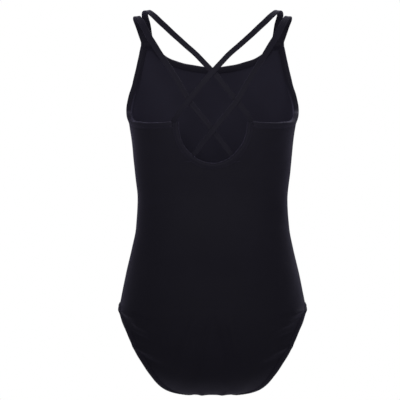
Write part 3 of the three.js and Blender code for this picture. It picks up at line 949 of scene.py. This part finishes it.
def gusset_corners() -> np.ndarray:
    """Lays out the gusset lining.

    Returns:
        Its grid of points, from back to front.
    """
    inset = {Face.BACK: 11.25, Face.FRONT: 9.45}
    columns = 33
    rows = []
    for turn in np.linspace(-30, 28, 57):
        face = Face.BACK if turn < 0 else Face.FRONT
        angle = np.array([90 - abs(turn)])
        half = (LEG_LINE[face].at(angle)[0] - inset[face]) * GRADE[0]
        row = np.repeat(FORM.fan_point(np.array([CENTRE]), angle, face), columns, axis=0)
        row[:, 0] = np.linspace(half, -half, columns)
        rows.append(row)
    return np.array(rows)


# ---- Edges, bindings and hems --------------------------------------------------------------------


def resampled(path: np.ndarray, spacing: float) -> np.ndarray:
    """A path with its points moved to an even spacing in millimetres."""
    run = run_along(path)
    places = np.linspace(0, run[-1], max(2, round(run[-1] / spacing)) + 1)
    return between(places, run, path)


def eased(path: np.ndarray, reach: float) -> np.ndarray:
    """Rounds the corners of a path.

    Args:
        path: Points along it, the two ends of which stay.
        reach: Millimetres either side of a corner that the rounding takes in.

    Returns:
        The rounded path, evenly spaced.
    """
    spacing = 0.5
    points = resampled(path, spacing)
    for _ in range(3):
        width = round(reach / spacing / 3)
        padded = np.concatenate([
            2 * points[0] - points[width:0:-1], points, 2 * points[-1] - points[-2:-2 - width:-1],
        ])
        total = np.cumsum(np.concatenate([np.zeros((1, 3)), padded]), axis=0)
        points = (total[2 * width + 1:] - total[:-2 * width - 1]) / (2 * width + 1)
    return points


def armhole_path() -> np.ndarray:
    """The right armhole's cut edge, from the back corner to the front tip."""
    band_end = SCOOP_HALF_WIDTH + 6.2 / GRADE[0]
    start = float(FORM.degrees_at(band_end, RING_WIDTH.at(SCOOP_TOP), 0.0))
    behind = np.linspace(start, 0, 200)
    back = FORM.ring_point(behind, ARMHOLE.at(-behind), Face.BACK)
    ahead = np.linspace(0, TIP_START, 240)[1:]
    return eased(np.concatenate([back, FORM.ring_point(ahead, ARMHOLE.at(ahead), Face.FRONT)]), 4)


def tip_path() -> np.ndarray:
    """The top edge of the right front tip, from the armhole to the neckline."""
    degrees = np.linspace(50.1, 59.0, 50)
    height = np.full_like(degrees, float(ARMHOLE.at(TIP_START)))
    return FORM.ring_point(degrees, height, Face.FRONT)


def neckline_path() -> np.ndarray:
    """The front neckline's cut edge, from the right tip to the left one."""
    degrees = np.linspace(TIP_END, CENTRE, 160)
    right = FORM.ring_point(degrees, NECKLINE.at(degrees), Face.FRONT)
    return np.concatenate([right, right[-2::-1] * (-1, 1, 1)])


def scoop_path() -> np.ndarray:
    """The back scoop's cut edge, from the wearer's left to the right."""
    half_width, height = scoop_point(np.linspace(0, 90, 160))
    right = FORM.ring_point(FORM.degrees_at(half_width, RING_WIDTH.at(height), 0.0), height, Face.BACK)
    corner = right[:1] + (0, 0, 0.9)
    right = np.concatenate([corner, right])
    return np.concatenate([right * (-1, 1, 1), right[-2::-1]])


def leg_path() -> np.ndarray:
    """The right leg opening's cut edge, from the crotch up the front and down the back to it."""
    halves = []
    for face in (Face.FRONT, Face.BACK):
        angle = np.linspace(90, 0, 360)
        degrees = FORM.degrees_at(LEG_LINE[face].at(angle), RING_WIDTH.at(HIP_LINE), angle)
        points = FORM.fan_point(degrees, angle, face)
        points[:, 1] = face.value * np.maximum(points[:, 1] * face.value, 0)
        halves.append(points)
    return eased(np.concatenate([halves[0], halves[1][-2::-1]]), 15)


@dataclass
class EdgeLine:
    """A cut edge of the garment, with directions along it and off the cloth."""

    path: np.ndarray
    spacing: float = 1.1
    stations: np.ndarray = field(init=False)
    off_edge: np.ndarray = field(init=False)

    def __post_init__(self) -> None:
        """Spaces the stations evenly and finds the way off the cloth at each."""
        self.stations = resampled(self.path, self.spacing)
        along = np.gradient(self.stations, axis=0)
        self.off_edge = unit(np.cross(FORM.outward(self.stations), along))

    def length(self) -> float:
        """The edge's length in millimetres."""
        return float(np.linalg.norm(np.diff(self.stations, axis=0), axis=1).sum())

    def place(self, along: np.ndarray, beyond: np.ndarray, height: np.ndarray) -> np.ndarray:
        """Places points by the edge.

        Args:
            along: Share of the way along the edge.
            beyond: Millimetres off the cloth past its edge; negative over the cloth.
            height: Millimetres outside the cloth's outer face.

        Returns:
            The points in form millimetres.
        """
        keys = np.linspace(0, 1, len(self.stations))
        point, off = between(along, keys, self.stations), between(along, keys, self.off_edge)
        return FORM.layer(point + off * beyond[:, None], height)


def ribbon_loop(middle: np.ndarray, thickness: float) -> np.ndarray:
    """The closed outline of a bent ribbon.

    Args:
        middle: Points along the ribbon's middle, as (beyond, height).
        thickness: Its thickness.

    Returns:
        Points round the outline, the first repeated at the end.
    """
    along = unit(np.gradient(middle, axis=0))
    aside = np.stack([-along[:, 1], along[:, 0]], axis=1) * thickness / 2
    tip = along * thickness * 0.35
    outer, inner = middle + aside, middle - aside
    loop = [outer, [middle[-1] + tip[-1]], inner[::-1], [middle[0] - tip[0]], outer[:1]]
    return np.concatenate([np.atleast_2d(part) for part in loop])


@dataclass(frozen=True)
class EdgingCut:
    """The proportions of a folded strip, in millimetres, and of the rows that sew it down."""

    width: float
    crown: float
    stitch_from_end: float
    zigzag_at: float = 0.0
    room: float = 1.3


BINDING = EdgingCut(5.8, 0.75, 1.3)
HEM = EdgingCut(7.4, 0.5, 1.2, zigzag_at=4.2)


@dataclass
class FoldedEdging(Piece):
    """A strip folded round a cut edge and sewn down: a binding or a hem."""

    name: str
    edge: EdgeLine
    width: float
    depth: float
    replaced: tuple[str, ...]
    side: Side = Side.RIGHT
    crown: float = 0.62
    stitch_from_end: float = 1.3
    wave: float = 0.22
    shut_reach: tuple[float, float] = (0.2, 3.2)
    shut_gap: float = 0.5
    slot: str = "trim"
    obj: bpy.types.Object = field(init=False)

    def profile(self) -> np.ndarray:
        """Draws the middle of the folded strip across the edge, from the outer leaf to the inner one.

        Returns:
            Points as (beyond, height).
        """
        half = FOLD_MM / 2
        stitch = -self.width + self.stitch_from_end
        bottom = -self.depth - half
        outer = [
            (-self.width, half + 0.02), (-self.width + 0.6, half + 0.1), (stitch, half + 0.02),
            (stitch + 0.7, half + 0.3 * self.crown), (stitch + 1.6, half + 0.8 * self.crown),
            (-1.6, half + self.crown), (-0.2, half + 0.9 * self.crown), (0.75, half + 0.4 * self.crown),
            (1.2, -0.35),
        ]
        inner = [
            (1.25, -self.depth / 2), (1.1, bottom + 0.9), (0.6, bottom + 0.2), (-0.4, bottom - 0.12),
            (-2.2, bottom - 0.15), (stitch, bottom + 0.12), (-self.width + 0.2, bottom + 0.05),
        ]
        return np.array(outer + inner)

    def settled(self, corner: np.ndarray, along: np.ndarray) -> np.ndarray:
        """Presses the inner leaf against the cloth at the strip's two ends.

        Args:
            corner: The section's points, as (beyond, height).
            along: Share of the way along the edge of each.

        Returns:
            The pressed points.
        """
        from_end = np.minimum(along, 1 - along) * self.edge.length()
        open_share = smooth_step(from_end, *self.shut_reach)
        cloth = self.depth - ROOM_MM
        shut = np.maximum(corner[:, 1], -(cloth + self.shut_gap))
        return np.stack([corner[:, 0], shut + (corner[:, 1] - shut) * open_share], axis=1)

    def ripple(self, along: np.ndarray) -> np.ndarray:
        """How far the folded edge wanders at shares of its length."""
        run = along * self.edge.length()
        slow = np.sin(run / 7.9 + 1.3 * np.sin(run / 31)) + 0.6 * np.sin(run / 3.7 + 0.9)
        return self.wave * slow

    def build(self) -> None:
        """Sweeps the folded strip along the edge."""
        loop = ribbon_loop(self.profile(), FOLD_MM)
        obj, shares, corner = swept_grid(self.name, loop, len(self.edge.stations) - 1)
        along = shares[:, 1]
        corner = self.settled(corner, along)
        toward_fold = smooth_step(corner[:, 0], -self.width, 1.0)
        beyond = corner[:, 0] + self.ripple(along) * toward_fold
        run = along * self.edge.length()
        by_stitch = np.exp(-(((corner[:, 0] + self.width - self.stitch_from_end) / 1.4) ** 2))
        pucker = 0.07 * np.sin(run * 2 * math.pi / 3.1) * by_stitch
        placed = self.edge.place(along, beyond, corner[:, 1] + np.where(corner[:, 1] > -0.5, pucker, 0))
        self.roll_up(obj, shares, placed, self.side)


@dataclass
class TipCap(FoldedEdging):
    """The short fold that closes a front tip over the sewn ends of its two straps."""

    def profile(self) -> np.ndarray:
        """Draws the fold, which bulges over the straps inside it."""
        bottom = -self.depth
        return np.array([
            (-self.width, 0.95), (-self.width + 1.2, 1.15), (-4, 1.3), (-1.6, 1.65), (0.4, 1.6), (2.2, 0.9),
            (3.3, -0.6), (3.7, bottom / 2), (3.2, bottom + 0.9), (1.8, bottom - 0.2), (-0.4, bottom - 0.5),
            (-2.6, bottom - 0.3), (-4.6, bottom + 0.6), (-6.2, bottom + 1.8), (-7.4, bottom + 2.4),
        ])

    def settled(self, corner: np.ndarray, along: np.ndarray) -> np.ndarray:
        """Presses the whole fold shut at its two ends.

        Args:
            corner: The section's points, as (beyond, height).
            along: Share of the way along the edge of each.

        Returns:
            The pressed points.
        """
        open_share = smooth_step(np.minimum(along, 1 - along), -0.02, 0.12)
        beyond, height = corner.T
        shut = np.stack([np.minimum(beyond, 0.5 * beyond), np.maximum(height, -6.0)], axis=1)
        return shut + (corner - shut) * open_share[:, None]


@dataclass
class InnerElastic(Piece):
    """The flat elastic inside a folded edging."""

    name: str
    edge: EdgeLine
    width: float
    cloth: float
    replaced: tuple[str, ...]
    side: Side = Side.RIGHT
    ease: float = 0.9
    thickness: float = 0.66
    end_trim: float = 3.4
    slot: str = "elastic"
    obj: bpy.types.Object = field(init=False)

    def build(self) -> None:
        """Sweeps the elastic along the edge."""
        height = -self.cloth - self.ease - self.thickness / 2
        middle = np.array([(-self.ease - self.width * t, height) for t in np.linspace(0.04, 0.96, 7)])
        loop = ribbon_loop(middle, self.thickness)
        obj, shares, corner = swept_grid(self.name, loop, len(self.edge.stations) - 1)
        trim = self.end_trim / self.edge.length()
        along = trim + (1 - 2 * trim) * shares[:, 1]
        placed = self.edge.place(along, corner[:, 0], corner[:, 1])
        self.roll_up(obj, shares, placed, self.side)


# ---- Sewing thread -------------------------------------------------------------------------------


@dataclass
class ThreadLine(Piece):
    """A row of machine stitches: one thread that rises over the cloth and dips at every needle hole."""

    name: str
    edge: EdgeLine
    beyond: float
    height: float
    kind: Stitch = Stitch.STRAIGHT
    swing: float = 0.0
    pitch: float = 2.5
    radius: float = 0.17
    side: Side = Side.RIGHT
    rings_per_stitch: int = 7
    sides: int = 5
    replaced: tuple[str, ...] = ()
    slot: str = "thread"
    obj: bpy.types.Object = field(init=False)

    def build(self) -> None:
        """Sweeps the thread along the row."""
        count = round(self.edge.length() / self.pitch)
        rings = count * self.rings_per_stitch
        obj, shares = grid_object(self.name, self.sides, rings)
        stitch = shares[:, 1] * count
        within = stitch % 1.0
        arc = np.sin(np.pi * within) ** 0.55
        beyond = np.full(len(shares), self.beyond)
        if self.kind is Stitch.ZIGZAG:
            beyond = beyond + self.swing * (2 * np.abs((stitch / 2 % 1.0) * 2 - 1) - 1)
        height = self.height + (arc - 1) * (3.2 * self.radius) + self.radius * 0.6
        turn = shares[:, 0] * 2 * math.pi
        beyond = beyond + self.radius * np.cos(turn)
        placed = self.edge.place(shares[:, 1], beyond, height + self.radius * np.sin(turn))
        self.roll_up(obj, shares, placed, self.side)


# ---- Straps --------------------------------------------------------------------------------------

STRAP_WIDTH, STRAP_THICKNESS = 8.5, 2.4
STRAP_ELASTIC_WIDTH, STRAP_ELASTIC_THICKNESS = 6.4, 0.5
STRAP_LENGTH = 210
LAYER_SHIFT = STRAP_THICKNESS / 2 + 0.5
BACK_SHEET_DEPTH = Chart(((300, 63), (318, 65), (341, 70), (380, 74.5), (418, 75.5), (440, 72), (462, 65)))
BACK_SHEET_CURVE = 0.0031
TUCKED_FACING = ((-0.24, 0.87, 0.4), (-0.24, 0.87, 0.4), (-0.22, 0.9, 0.36))
SHOULDER_FACING = ((-0.16, 0.76, 0.62), (-0.1, 0.4, 0.91), (-0.1, -0.15, 0.98), (-0.15, -0.6, 0.78),
                   (-0.25, -0.82, 0.5))


def through(points: np.ndarray, places: np.ndarray, centripetal: bool) -> np.ndarray:
    """A smooth curve through points.

    Args:
        points: The points, one a row.
        places: Where to read the curve, from 0 to 1 by point number.
        centripetal: Whether spans are timed by their length, which keeps uneven ones from looping.

    Returns:
        The curve's points.
    """
    padded = np.concatenate([[2 * points[0] - points[1]], points, [2 * points[-1] - points[-2]]])
    at = places * (len(points) - 1)
    span = np.minimum(at.astype(int), len(points) - 2)
    t = (at - span)[:, None]
    p0, p1, p2, p3 = (padded[span + k] for k in range(4))
    if centripetal:
        gaps = (p1 - p0, p2 - p1, p3 - p2)
        d0, d1, d2 = (np.linalg.norm(gap, axis=1, keepdims=True) ** 0.5 for gap in gaps)
        m1 = ((p1 - p0) / d0 - (p2 - p0) / (d0 + d1) + (p2 - p1) / d1) * d1
        m2 = ((p2 - p1) / d1 - (p3 - p1) / (d1 + d2) + (p3 - p2) / d2) * d1
    else:
        m1, m2 = (p2 - p0) / 2, (p3 - p1) / 2
    return (
        p1 + m1 * t + (-3 * p1 + 3 * p2 - 2 * m1 - m2) * t**2 + (2 * p1 - 2 * p2 + m1 + m2) * t**3
    )


@dataclass
class StrapRoute:
    """The way a pair of straps takes over the shoulders and across the back."""

    shoulder: Rows
    back: Rows
    tucked: Rows
    sewn: tuple[float, float]

    def middle(self, side: Side, steps: int) -> tuple[np.ndarray, np.ndarray]:
        """Runs one strap of the pair.

        Args:
            side: The shoulder it goes over.
            steps: Number of steps along it.

        Returns:
            Points along its middle, and which way its outer face points there.
        """
        back = np.array([*self.back, self.sewn], float)
        x, height = back.T
        rise = (self.sheet(x, height + 1) - self.sheet(x, height - 1)) / 2
        facing = unit(np.stack([2 * BACK_SHEET_CURVE * x, -np.ones_like(x), rise], axis=1))
        share = np.clip((len(x) - 1 - np.arange(len(x))) / 2, 0, 1)
        share[0] = 0
        on_back = np.stack([x, self.sheet(x, height), height], axis=1)
        on_back = (on_back + facing * (side.value * LAYER_SHIFT * share)[:, None]) * GRADE
        over = np.array(self.tucked + self.shoulder, float) * GRADE
        route = np.concatenate([over, on_back])
        facings = np.concatenate([np.array(TUCKED_FACING + SHOULDER_FACING), facing])
        shares = np.linspace(0, 1, 1200)
        run = run_along(through(route, shares, True))
        places = np.interp(np.linspace(0, run[-1], steps + 1), run, shares)
        return through(route, places, True), through(facings, places, False)

    @staticmethod
    def sheet(x: np.ndarray, height: np.ndarray) -> np.ndarray:
        """Y of the surface that the straps lie on across the back."""
        return -(BACK_SHEET_DEPTH.at(height) - BACK_SHEET_CURVE * x * x)


def sewn_end(turn: float, beyond: float, below: float) -> tuple[float, float]:
    """Half width and height of a strap's sewn end, placed from the scoop's edge."""
    half_width, height = scoop_point(np.array(turn))
    return float(half_width) + beyond, float(height) - below


STRAP_ROUTES = {
    "inner": StrapRoute(
        ((-84.6, 29, 478), (-88, 12, 493), (-85, -8, 497.2), (-75.5, -28, 490), (-62.5, -45, 477)),
        ((-43, 459), (-20, 438), (0, 417), (16, 398), (31, 380), (43, 364.5)),
        ((-79.6, 39.9, 452.5), (-80.5, 38.6, 456), (-82, 36.8, 461)),
        sewn_end(0, 7.8, 4.3),
    ),
    "outer": StrapRoute(
        ((-95, 28, 475), (-99, 10, 486.5), (-98, -8, 489.5), (-91, -28, 480), (-83, -42, 464.5)),
        ((-71, 445), (-57, 423.5), (-44, 402.5), (-31, 380), (-16, 361), (0, 341), (14, 323.5)),
        ((-87.6, 37.4, 452.5), (-88.6, 36.2, 456), (-90.3, 34.4, 461)),
        sewn_end(47, 0, 11.2),
    ),
}


@dataclass
class Strap(Piece):
    """A sewn tube strap or the elastic inside it."""

    name: str
    route: StrapRoute
    side: Side
    width: float
    thickness: float
    slot: str
    replaced: tuple[str, ...]
    rolled: float = 0.0
    narrowing: float = 0.16
    steps: int = 200
    sides: int = 28
    obj: bpy.types.Object = field(init=False)

    def section(self) -> np.ndarray:
        """Draws the strap's outline: flat in the middle and rolled at its edges.

        Returns:
            Points as (across, out), the first repeated at the end.
        """
        turn = np.linspace(0, 2 * math.pi, self.sides + 1)
        power = 0.62
        across = np.sign(np.cos(turn)) * np.abs(np.cos(turn)) ** power * self.width / 2
        out = np.sign(np.sin(turn)) * np.abs(np.sin(turn)) ** power * self.thickness / 2
        hollow = 1 - self.rolled * np.exp(-((across / (0.3 * self.width)) ** 2))
        return np.stack([across, out * hollow], axis=1)

    def build(self) -> None:
        """Sweeps the outline along the route."""
        middle, facing = self.route.middle(self.side, self.steps)
        along = unit(np.gradient(middle, axis=0))
        across = unit(np.cross(facing, along))
        out = np.cross(along, across)
        obj, shares, corner = swept_grid(self.name, self.section(), self.steps)
        at = np.round(shares[:, 1] * self.steps).astype(int)
        drawn_in = 1 - self.narrowing * smooth_step(shares[:, 1], 0.2, 0.6)
        run = shares[:, 1] * STRAP_LENGTH
        sway = 0.12 * (np.sin(run / 6.1) + 0.7 * np.sin(run / 3.3 + 1)) * (self.rolled > 0)
        aside = corner[:, 0] * drawn_in + sway
        placed = middle[at] + across[at] * aside[:, None] + out[at] * corner[:, 1][:, None]
        placed[:, 0] *= -1
        self.roll_up(obj, shares, placed, self.side)


# ---- Bar tacks and the care label ----------------------------------------------------------------


TIP_TACK_PLACE = (85.5, 452)  # half width and height


@dataclass
class BarTack(Piece):
    """A dense bar of zigzag thread that holds a strap down."""

    name: str
    half_width: float
    height: float
    face: Face
    length: float
    side: Side
    replaced: tuple[str, ...]
    lift: float
    swing: float = 0.75
    radius: float = 0.19
    pitch: float = 0.42
    slot: str = "thread"
    obj: bpy.types.Object = field(init=False)

    def build(self) -> None:
        """Sweeps one thread to and fro across the bar."""
        zigs = round(self.length / self.pitch)
        rings = zigs * 4
        obj, shares = grid_object(self.name, 6, rings)
        middle = FORM.ring_point(
            FORM.degrees_at(np.array(self.half_width), RING_WIDTH.at(self.height), 0.0),
            np.array(self.height), self.face,
        )
        phase = shares[:, 1] * zigs
        swing = self.swing * np.sin(phase * math.pi)
        turn = shares[:, 0] * 2 * math.pi
        points = np.repeat(middle[None], len(shares), axis=0)
        points[:, 0] += (shares[:, 1] - 0.5) * self.length + self.radius * np.cos(turn)
        points[:, 2] += swing
        bulge = 0.22 * np.cos(np.clip(swing / self.swing, -1, 1) * math.pi / 2)
        placed = FORM.layer(points, self.lift + bulge + self.radius * np.sin(turn))
        self.roll_up(obj, shares, placed, self.side)


@dataclass
class CareLabel(Piece):
    """The blank ribbon label inside the left side seam. It swings on its sewn edge."""

    name: str = "care_label_ribbon"
    curl: float = 0.0016
    thickness: float = 0.4
    lean_degrees: float = 21.0
    obj: bpy.types.Object = field(init=False)

    def build(self) -> None:
        """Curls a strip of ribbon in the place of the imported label."""
        low, high = (np.array(corner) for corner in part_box("care_label"))
        obj, shares = grid_object(self.name, 20, 22)
        lean = math.radians(self.lean_degrees)
        length = (high[1] - low[1]) / math.cos(lean) - self.thickness * MM * math.tan(lean)
        wall = self.thickness * MM
        hinge = np.array([low[0] + wall, high[1] - wall * math.sin(lean), low[2]])
        out, up = shares[:, 0] * length, shares[:, 1] * (high[2] - low[2])
        twist = 0.35 * shares[:, 0] * np.cos(shares[:, 1] * 5)
        bow = self.curl * (np.sin(shares[:, 0] * math.pi * 0.9) + twist)
        points = np.empty((len(shares), 3))
        points[:, 0] = hinge[0] + out * math.sin(lean) + bow * math.cos(lean)
        points[:, 1] = hinge[1] - out * math.cos(lean) + bow * math.sin(lean)
        points[:, 2] = hinge[2] + up
        placed = points / MM + np.array([0, 0, TORSO_MM])
        set_vertices(obj, placed)
        set_cloth_map(obj, shares, placed)
        solid = obj.modifiers.new("thickness", "SOLIDIFY")
        solid.thickness = wall
        solid.offset = 0
        self.obj = obj

    def dress(self, materials: dict[str, bpy.types.Material]) -> None:
        """Gives the ribbon its finish."""
        settle(self.obj, materials["label"], ("care_label",), LABEL_BODY)
        self.declare(ClothCut((0.025, 0.028), None, ("side_seam_left",), "hung"))


# ---- The garment's sub-assemblies ----------------------------------------------------------------


@dataclass
class Garment:
    """All the pieces of the leotard, in the order in which they are made."""

    pieces: list = field(default_factory=list)

    def add(self, piece: object) -> None:
        """Builds a piece and keeps it."""
        piece.build()
        self.pieces.append(piece)

    def build_cloth(self) -> None:
        """Builds the panels, the linings and the seams."""
        self.add(ClothPanel(
            "front_panel_cloth", Face.FRONT, 0.0, FABRIC_MM, ("front_panel",), "knit",
            ClothCut((0.30, 0.483), 0.0991, ("front_lining_cloth",)),
        ))
        self.add(ClothPanel(
            "back_panel_cloth", Face.BACK, 0.0, FABRIC_MM, ("back_panel",), "knit",
            ClothCut((0.33, 0.42), 0.091, ("back_scoop_binding_fold",)),
        ))
        self.add(ClothPanel(
            "front_lining_cloth", Face.FRONT, LINING_DEPTH_MM, LINING_MM, ("front_lining",), "lining",
            ClothCut((0.295, 0.429), 0.0916, ("front_neck_binding_fold",)), lowest_angle=61,
            leg_inset=11.0, side_inset=3.0, columns_per_side=56, lower_rows=36, upper_rows=84,
        ))
        self.add(FormPatch(
            "gusset_cloth", GUSSET_DEPTH_MM, LINING_MM, ("gusset_lining",), "lining", gusset_corners(),
            ClothCut((0.121, 0.113), 0.0067, ("back_panel_cloth", "front_panel_cloth")),
        ))

    def build_seams(self) -> None:
        """Builds the overlocked seam allowances."""
        top = (ARMHOLE.at(0.0) - 6.8) * GRADE[2]
        heights = np.linspace(HIP_LINE * GRADE[2] + 9.4, top, 120)
        behind = np.linspace(-5.4, -0.4, 8)
        for side in Side:
            seam = f"side_seam_{side.hand}"
            edge = side.value * RING_WIDTH.at(heights / GRADE[2]) * GRADE[0]
            rows = np.array([[(x, y, z) for y in behind] for x, z in zip(edge, heights)])
            self.add(FormPatch(f"{seam}_overlock", SEAM_DEPTH_MM, SEAM_MM, (seam,), "thread", rows))
        half = LEG_LINE[Face.FRONT].at(90.0) * GRADE[0] - 8.4
        across = np.linspace(half, -half, 44)
        rows = np.array([[(x, y, 0.0) for x in across] for y in np.linspace(-5.4, -0.6, 8)])
        self.add(FormPatch("crotch_seam_overlock", SEAM_DEPTH_MM, SEAM_MM, ("crotch_seam",), "thread", rows))

    def build_edgings(self) -> None:
        """Builds the bindings, the hems, their elastic and their stitching."""
        lined = LINING_DEPTH_MM + LINING_MM
        armhole, leg = EdgeLine(armhole_path()), EdgeLine(leg_path())
        neck, scoop, tip = EdgeLine(neckline_path()), EdgeLine(scoop_path()), EdgeLine(tip_path(), 0.8)
        self.add_edging("front_neck_binding", "front_neck_elastic", neck, BINDING, lined, Side.RIGHT)
        self.add_edging("back_scoop_binding", "back_scoop_elastic", scoop, BINDING, FABRIC_MM, Side.RIGHT)
        for side in Side:
            hand = side.hand
            binding, elastic = f"armhole_binding_{hand}", f"armhole_elastic_{hand}"
            self.add_edging(binding, elastic, armhole, BINDING, lined, side)
            self.add(TipCap(f"front_tip_cap_{hand}", tip, 7.2, 8.4, (), side, wave=0.08))
            self.add_edging(f"leg_hem_{hand}", f"leg_elastic_{hand}", leg, HEM, FABRIC_MM, side)

    def add_edging(
        self, node: str, elastic: str, edge: EdgeLine, cut: EdgingCut, cloth: float, side: Side
    ) -> None:
        """Builds one edging with its elastic and its rows of stitches.

        Args:
            node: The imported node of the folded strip.
            elastic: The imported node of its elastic.
            edge: The cut edge it goes round.
            cut: Its proportions.
            cloth: Depth of the cloth it encloses.
            side: The wearer's side.
        """
        self.add(FoldedEdging(f"{node}_fold", edge, cut.width, cloth + ROOM_MM, (node,), side, cut.crown))
        self.add(InnerElastic(f"{elastic}_ribbon", edge, cut.width - cut.room, cloth, (elastic,), side))
        if cut.zigzag_at:
            self.add(ThreadLine(f"{node}_zigzag", edge, -cut.zigzag_at, STITCH_HEIGHT_MM + 0.42,
                                Stitch.ZIGZAG, 1.7, 2.1, side=side))
        inset = cut.stitch_from_end - cut.width
        self.add(ThreadLine(f"{node}_stitches", edge, inset, STITCH_HEIGHT_MM, side=side))

    def build_straps(self) -> None:
        """Builds the four straps and the elastic inside each."""
        for place, route in STRAP_ROUTES.items():
            for side in Side:
                hand = side.hand
                strap, elastic = f"{place}_strap_{hand}", f"{place}_strap_elastic_{hand}"
                self.add(Strap(f"{strap}_tube", route, side, STRAP_WIDTH, STRAP_THICKNESS, "trim", (strap,),
                               rolled=0.42))
                self.add(Strap(f"{elastic}_ribbon", route, side, STRAP_ELASTIC_WIDTH,
                               STRAP_ELASTIC_THICKNESS, "elastic", (elastic,), sides=12, steps=120))

    def build_tacks(self) -> None:
        """Builds the bar tacks and the care label."""
        for side in Side:
            hand = side.hand
            tip = f"front_tip_tack_{hand}"
            self.add(BarTack(f"{tip}_bar", *TIP_TACK_PLACE, Face.FRONT, 12, side, (tip,), lift=1.75))
            for place, lift in (("inner", 1.45), ("outer", 0.25)):
                half_width, height = STRAP_ROUTES[place].sewn
                sewn = f"{place}_strap_tack_{hand}"
                self.add(BarTack(f"{sewn}_bar", half_width, height + 0.8, Face.BACK, 8, side, (sewn,), lift))
        self.add(CareLabel())

    def dress(self, materials: dict[str, bpy.types.Material]) -> None:
        """Gives every piece its finish."""
        for piece in self.pieces:
            piece.dress(materials)


# ---- Studio --------------------------------------------------------------------------------------


@dataclass
class Studio:
    """A plain pale floor, soft light and the camera."""

    aim: tuple[float, float] = (-0.0163, -0.2444)
    distance: float = 9.0
    field_width: float = 0.52
    floor_radius: float = 0.8
    floor_drop: float = 0.12
    ambient: float = 0.24

    def build(self) -> None:
        """Sets up the camera, the floor and the lights."""
        scene = bpy.context.scene
        scene.view_settings.view_transform = "Standard"
        self.add_camera(scene)
        self.add_floor(scene)
        centre = (CAD_BOX[0] + CAD_BOX[1]) / 2
        self.add_lamp("key", "SPOT", (-0.15, -1.5, 0.1), (0, 0, 0.02), energy=60, shadow_soft_size=0.3,
                      spot_size=math.radians(36), spot_blend=1.0)
        self.add_lamp("fill", "AREA", (0.4, -2.2, 0.1), centre, energy=13, size=1.6)
        self.add_lamp("front", "AREA", (0.6, 1.6, 0.9), centre, energy=12, size=1.4)
        self.light_surroundings(scene)

    def add_camera(self, scene: bpy.types.Scene) -> None:
        """Adds the camera, level and straight on to the wearer's back."""
        data = bpy.data.cameras.new("camera")
        data.sensor_width = 36
        data.lens = data.sensor_width * self.distance / self.field_width
        data.clip_start = 1
        camera = bpy.data.objects.new("camera", data)
        camera.location = (self.aim[0], -self.distance, self.aim[1])
        camera.rotation_euler = (math.pi / 2, 0, 0)
        scene.collection.objects.link(camera)
        scene.camera = camera

    def add_floor(self, scene: bpy.types.Scene) -> None:
        """Adds a round pale floor under the garment."""
        disc = bmesh.new()
        bmesh.ops.create_circle(disc, cap_ends=True, segments=96, radius=self.floor_radius)
        mesh = bpy.data.meshes.new("floor")
        bmesh.ops.translate(disc, verts=disc.verts, vec=(0, 0, CAD_BOX[0].z - self.floor_drop))
        disc.to_mesh(mesh)
        disc.free()
        floor = bpy.data.objects.new("floor", mesh)
        scene.collection.objects.link(floor)
        material = bpy.data.materials.new("pale_floor")
        material.use_nodes = True
        shader = material.node_tree.nodes["Principled BSDF"]
        Nodes(material.node_tree).fill(shader, Base_Color=(0.82, 0.82, 0.83, 1), Roughness=0.9)
        mesh.materials.append(material)

    def add_lamp(
        self, name: str, kind: str, place: tuple[float, float, float], target: Sequence[float],
        **settings: float,
    ) -> None:
        """Adds a soft lamp.

        Args:
            name: The lamp's name.
            kind: The kind of lamp.
            place: Where it stands.
            target: The point it is turned to.
            settings: The lamp's own settings.
        """
        data = bpy.data.lights.new(name, kind)
        for setting, value in settings.items():
            setattr(data, setting, value)
        lamp = bpy.data.objects.new(name, data)
        lamp.location = place
        lamp.rotation_euler = (Vector(target) - lamp.location).to_track_quat("-Z", "Y").to_euler()
        bpy.context.scene.collection.objects.link(lamp)

    def light_surroundings(self, scene: bpy.types.Scene) -> None:
        """Makes the surroundings white to look at and dimmer as a light."""
        world = bpy.data.worlds.new("surroundings")
        world.use_nodes = True
        scene.world = world
        nodes = Nodes(world.node_tree)
        path = nodes.add("ShaderNodeLightPath")
        strength = nodes.fill(
            nodes.add("ShaderNodeMapRange"), Value=path.outputs["Is Camera Ray"],
            To_Min=self.ambient, To_Max=1.0,
        )
        background = world.node_tree.nodes["Background"]
        nodes.fill(background, Color=(1, 1, 1, 1), Strength=strength.outputs["Result"])


def main() -> None:
    """Builds the garment and the studio round it."""
    logging.basicConfig(level=logging.INFO, format="%(name)s: %(message)s")
    studio = Studio()
    studio.build()
    relief, mottle = knit_relief_group(), cloth_mottle_group()
    materials = {slot: finish.make(relief, mottle) for slot, finish in FINISHES.items()}
    garment = Garment()
    garment.build_cloth()
    garment.build_seams()
    garment.build_edgings()
    garment.build_straps()
    garment.build_tacks()
    garment.dress(materials)


if __name__ == "__main__":
    main()
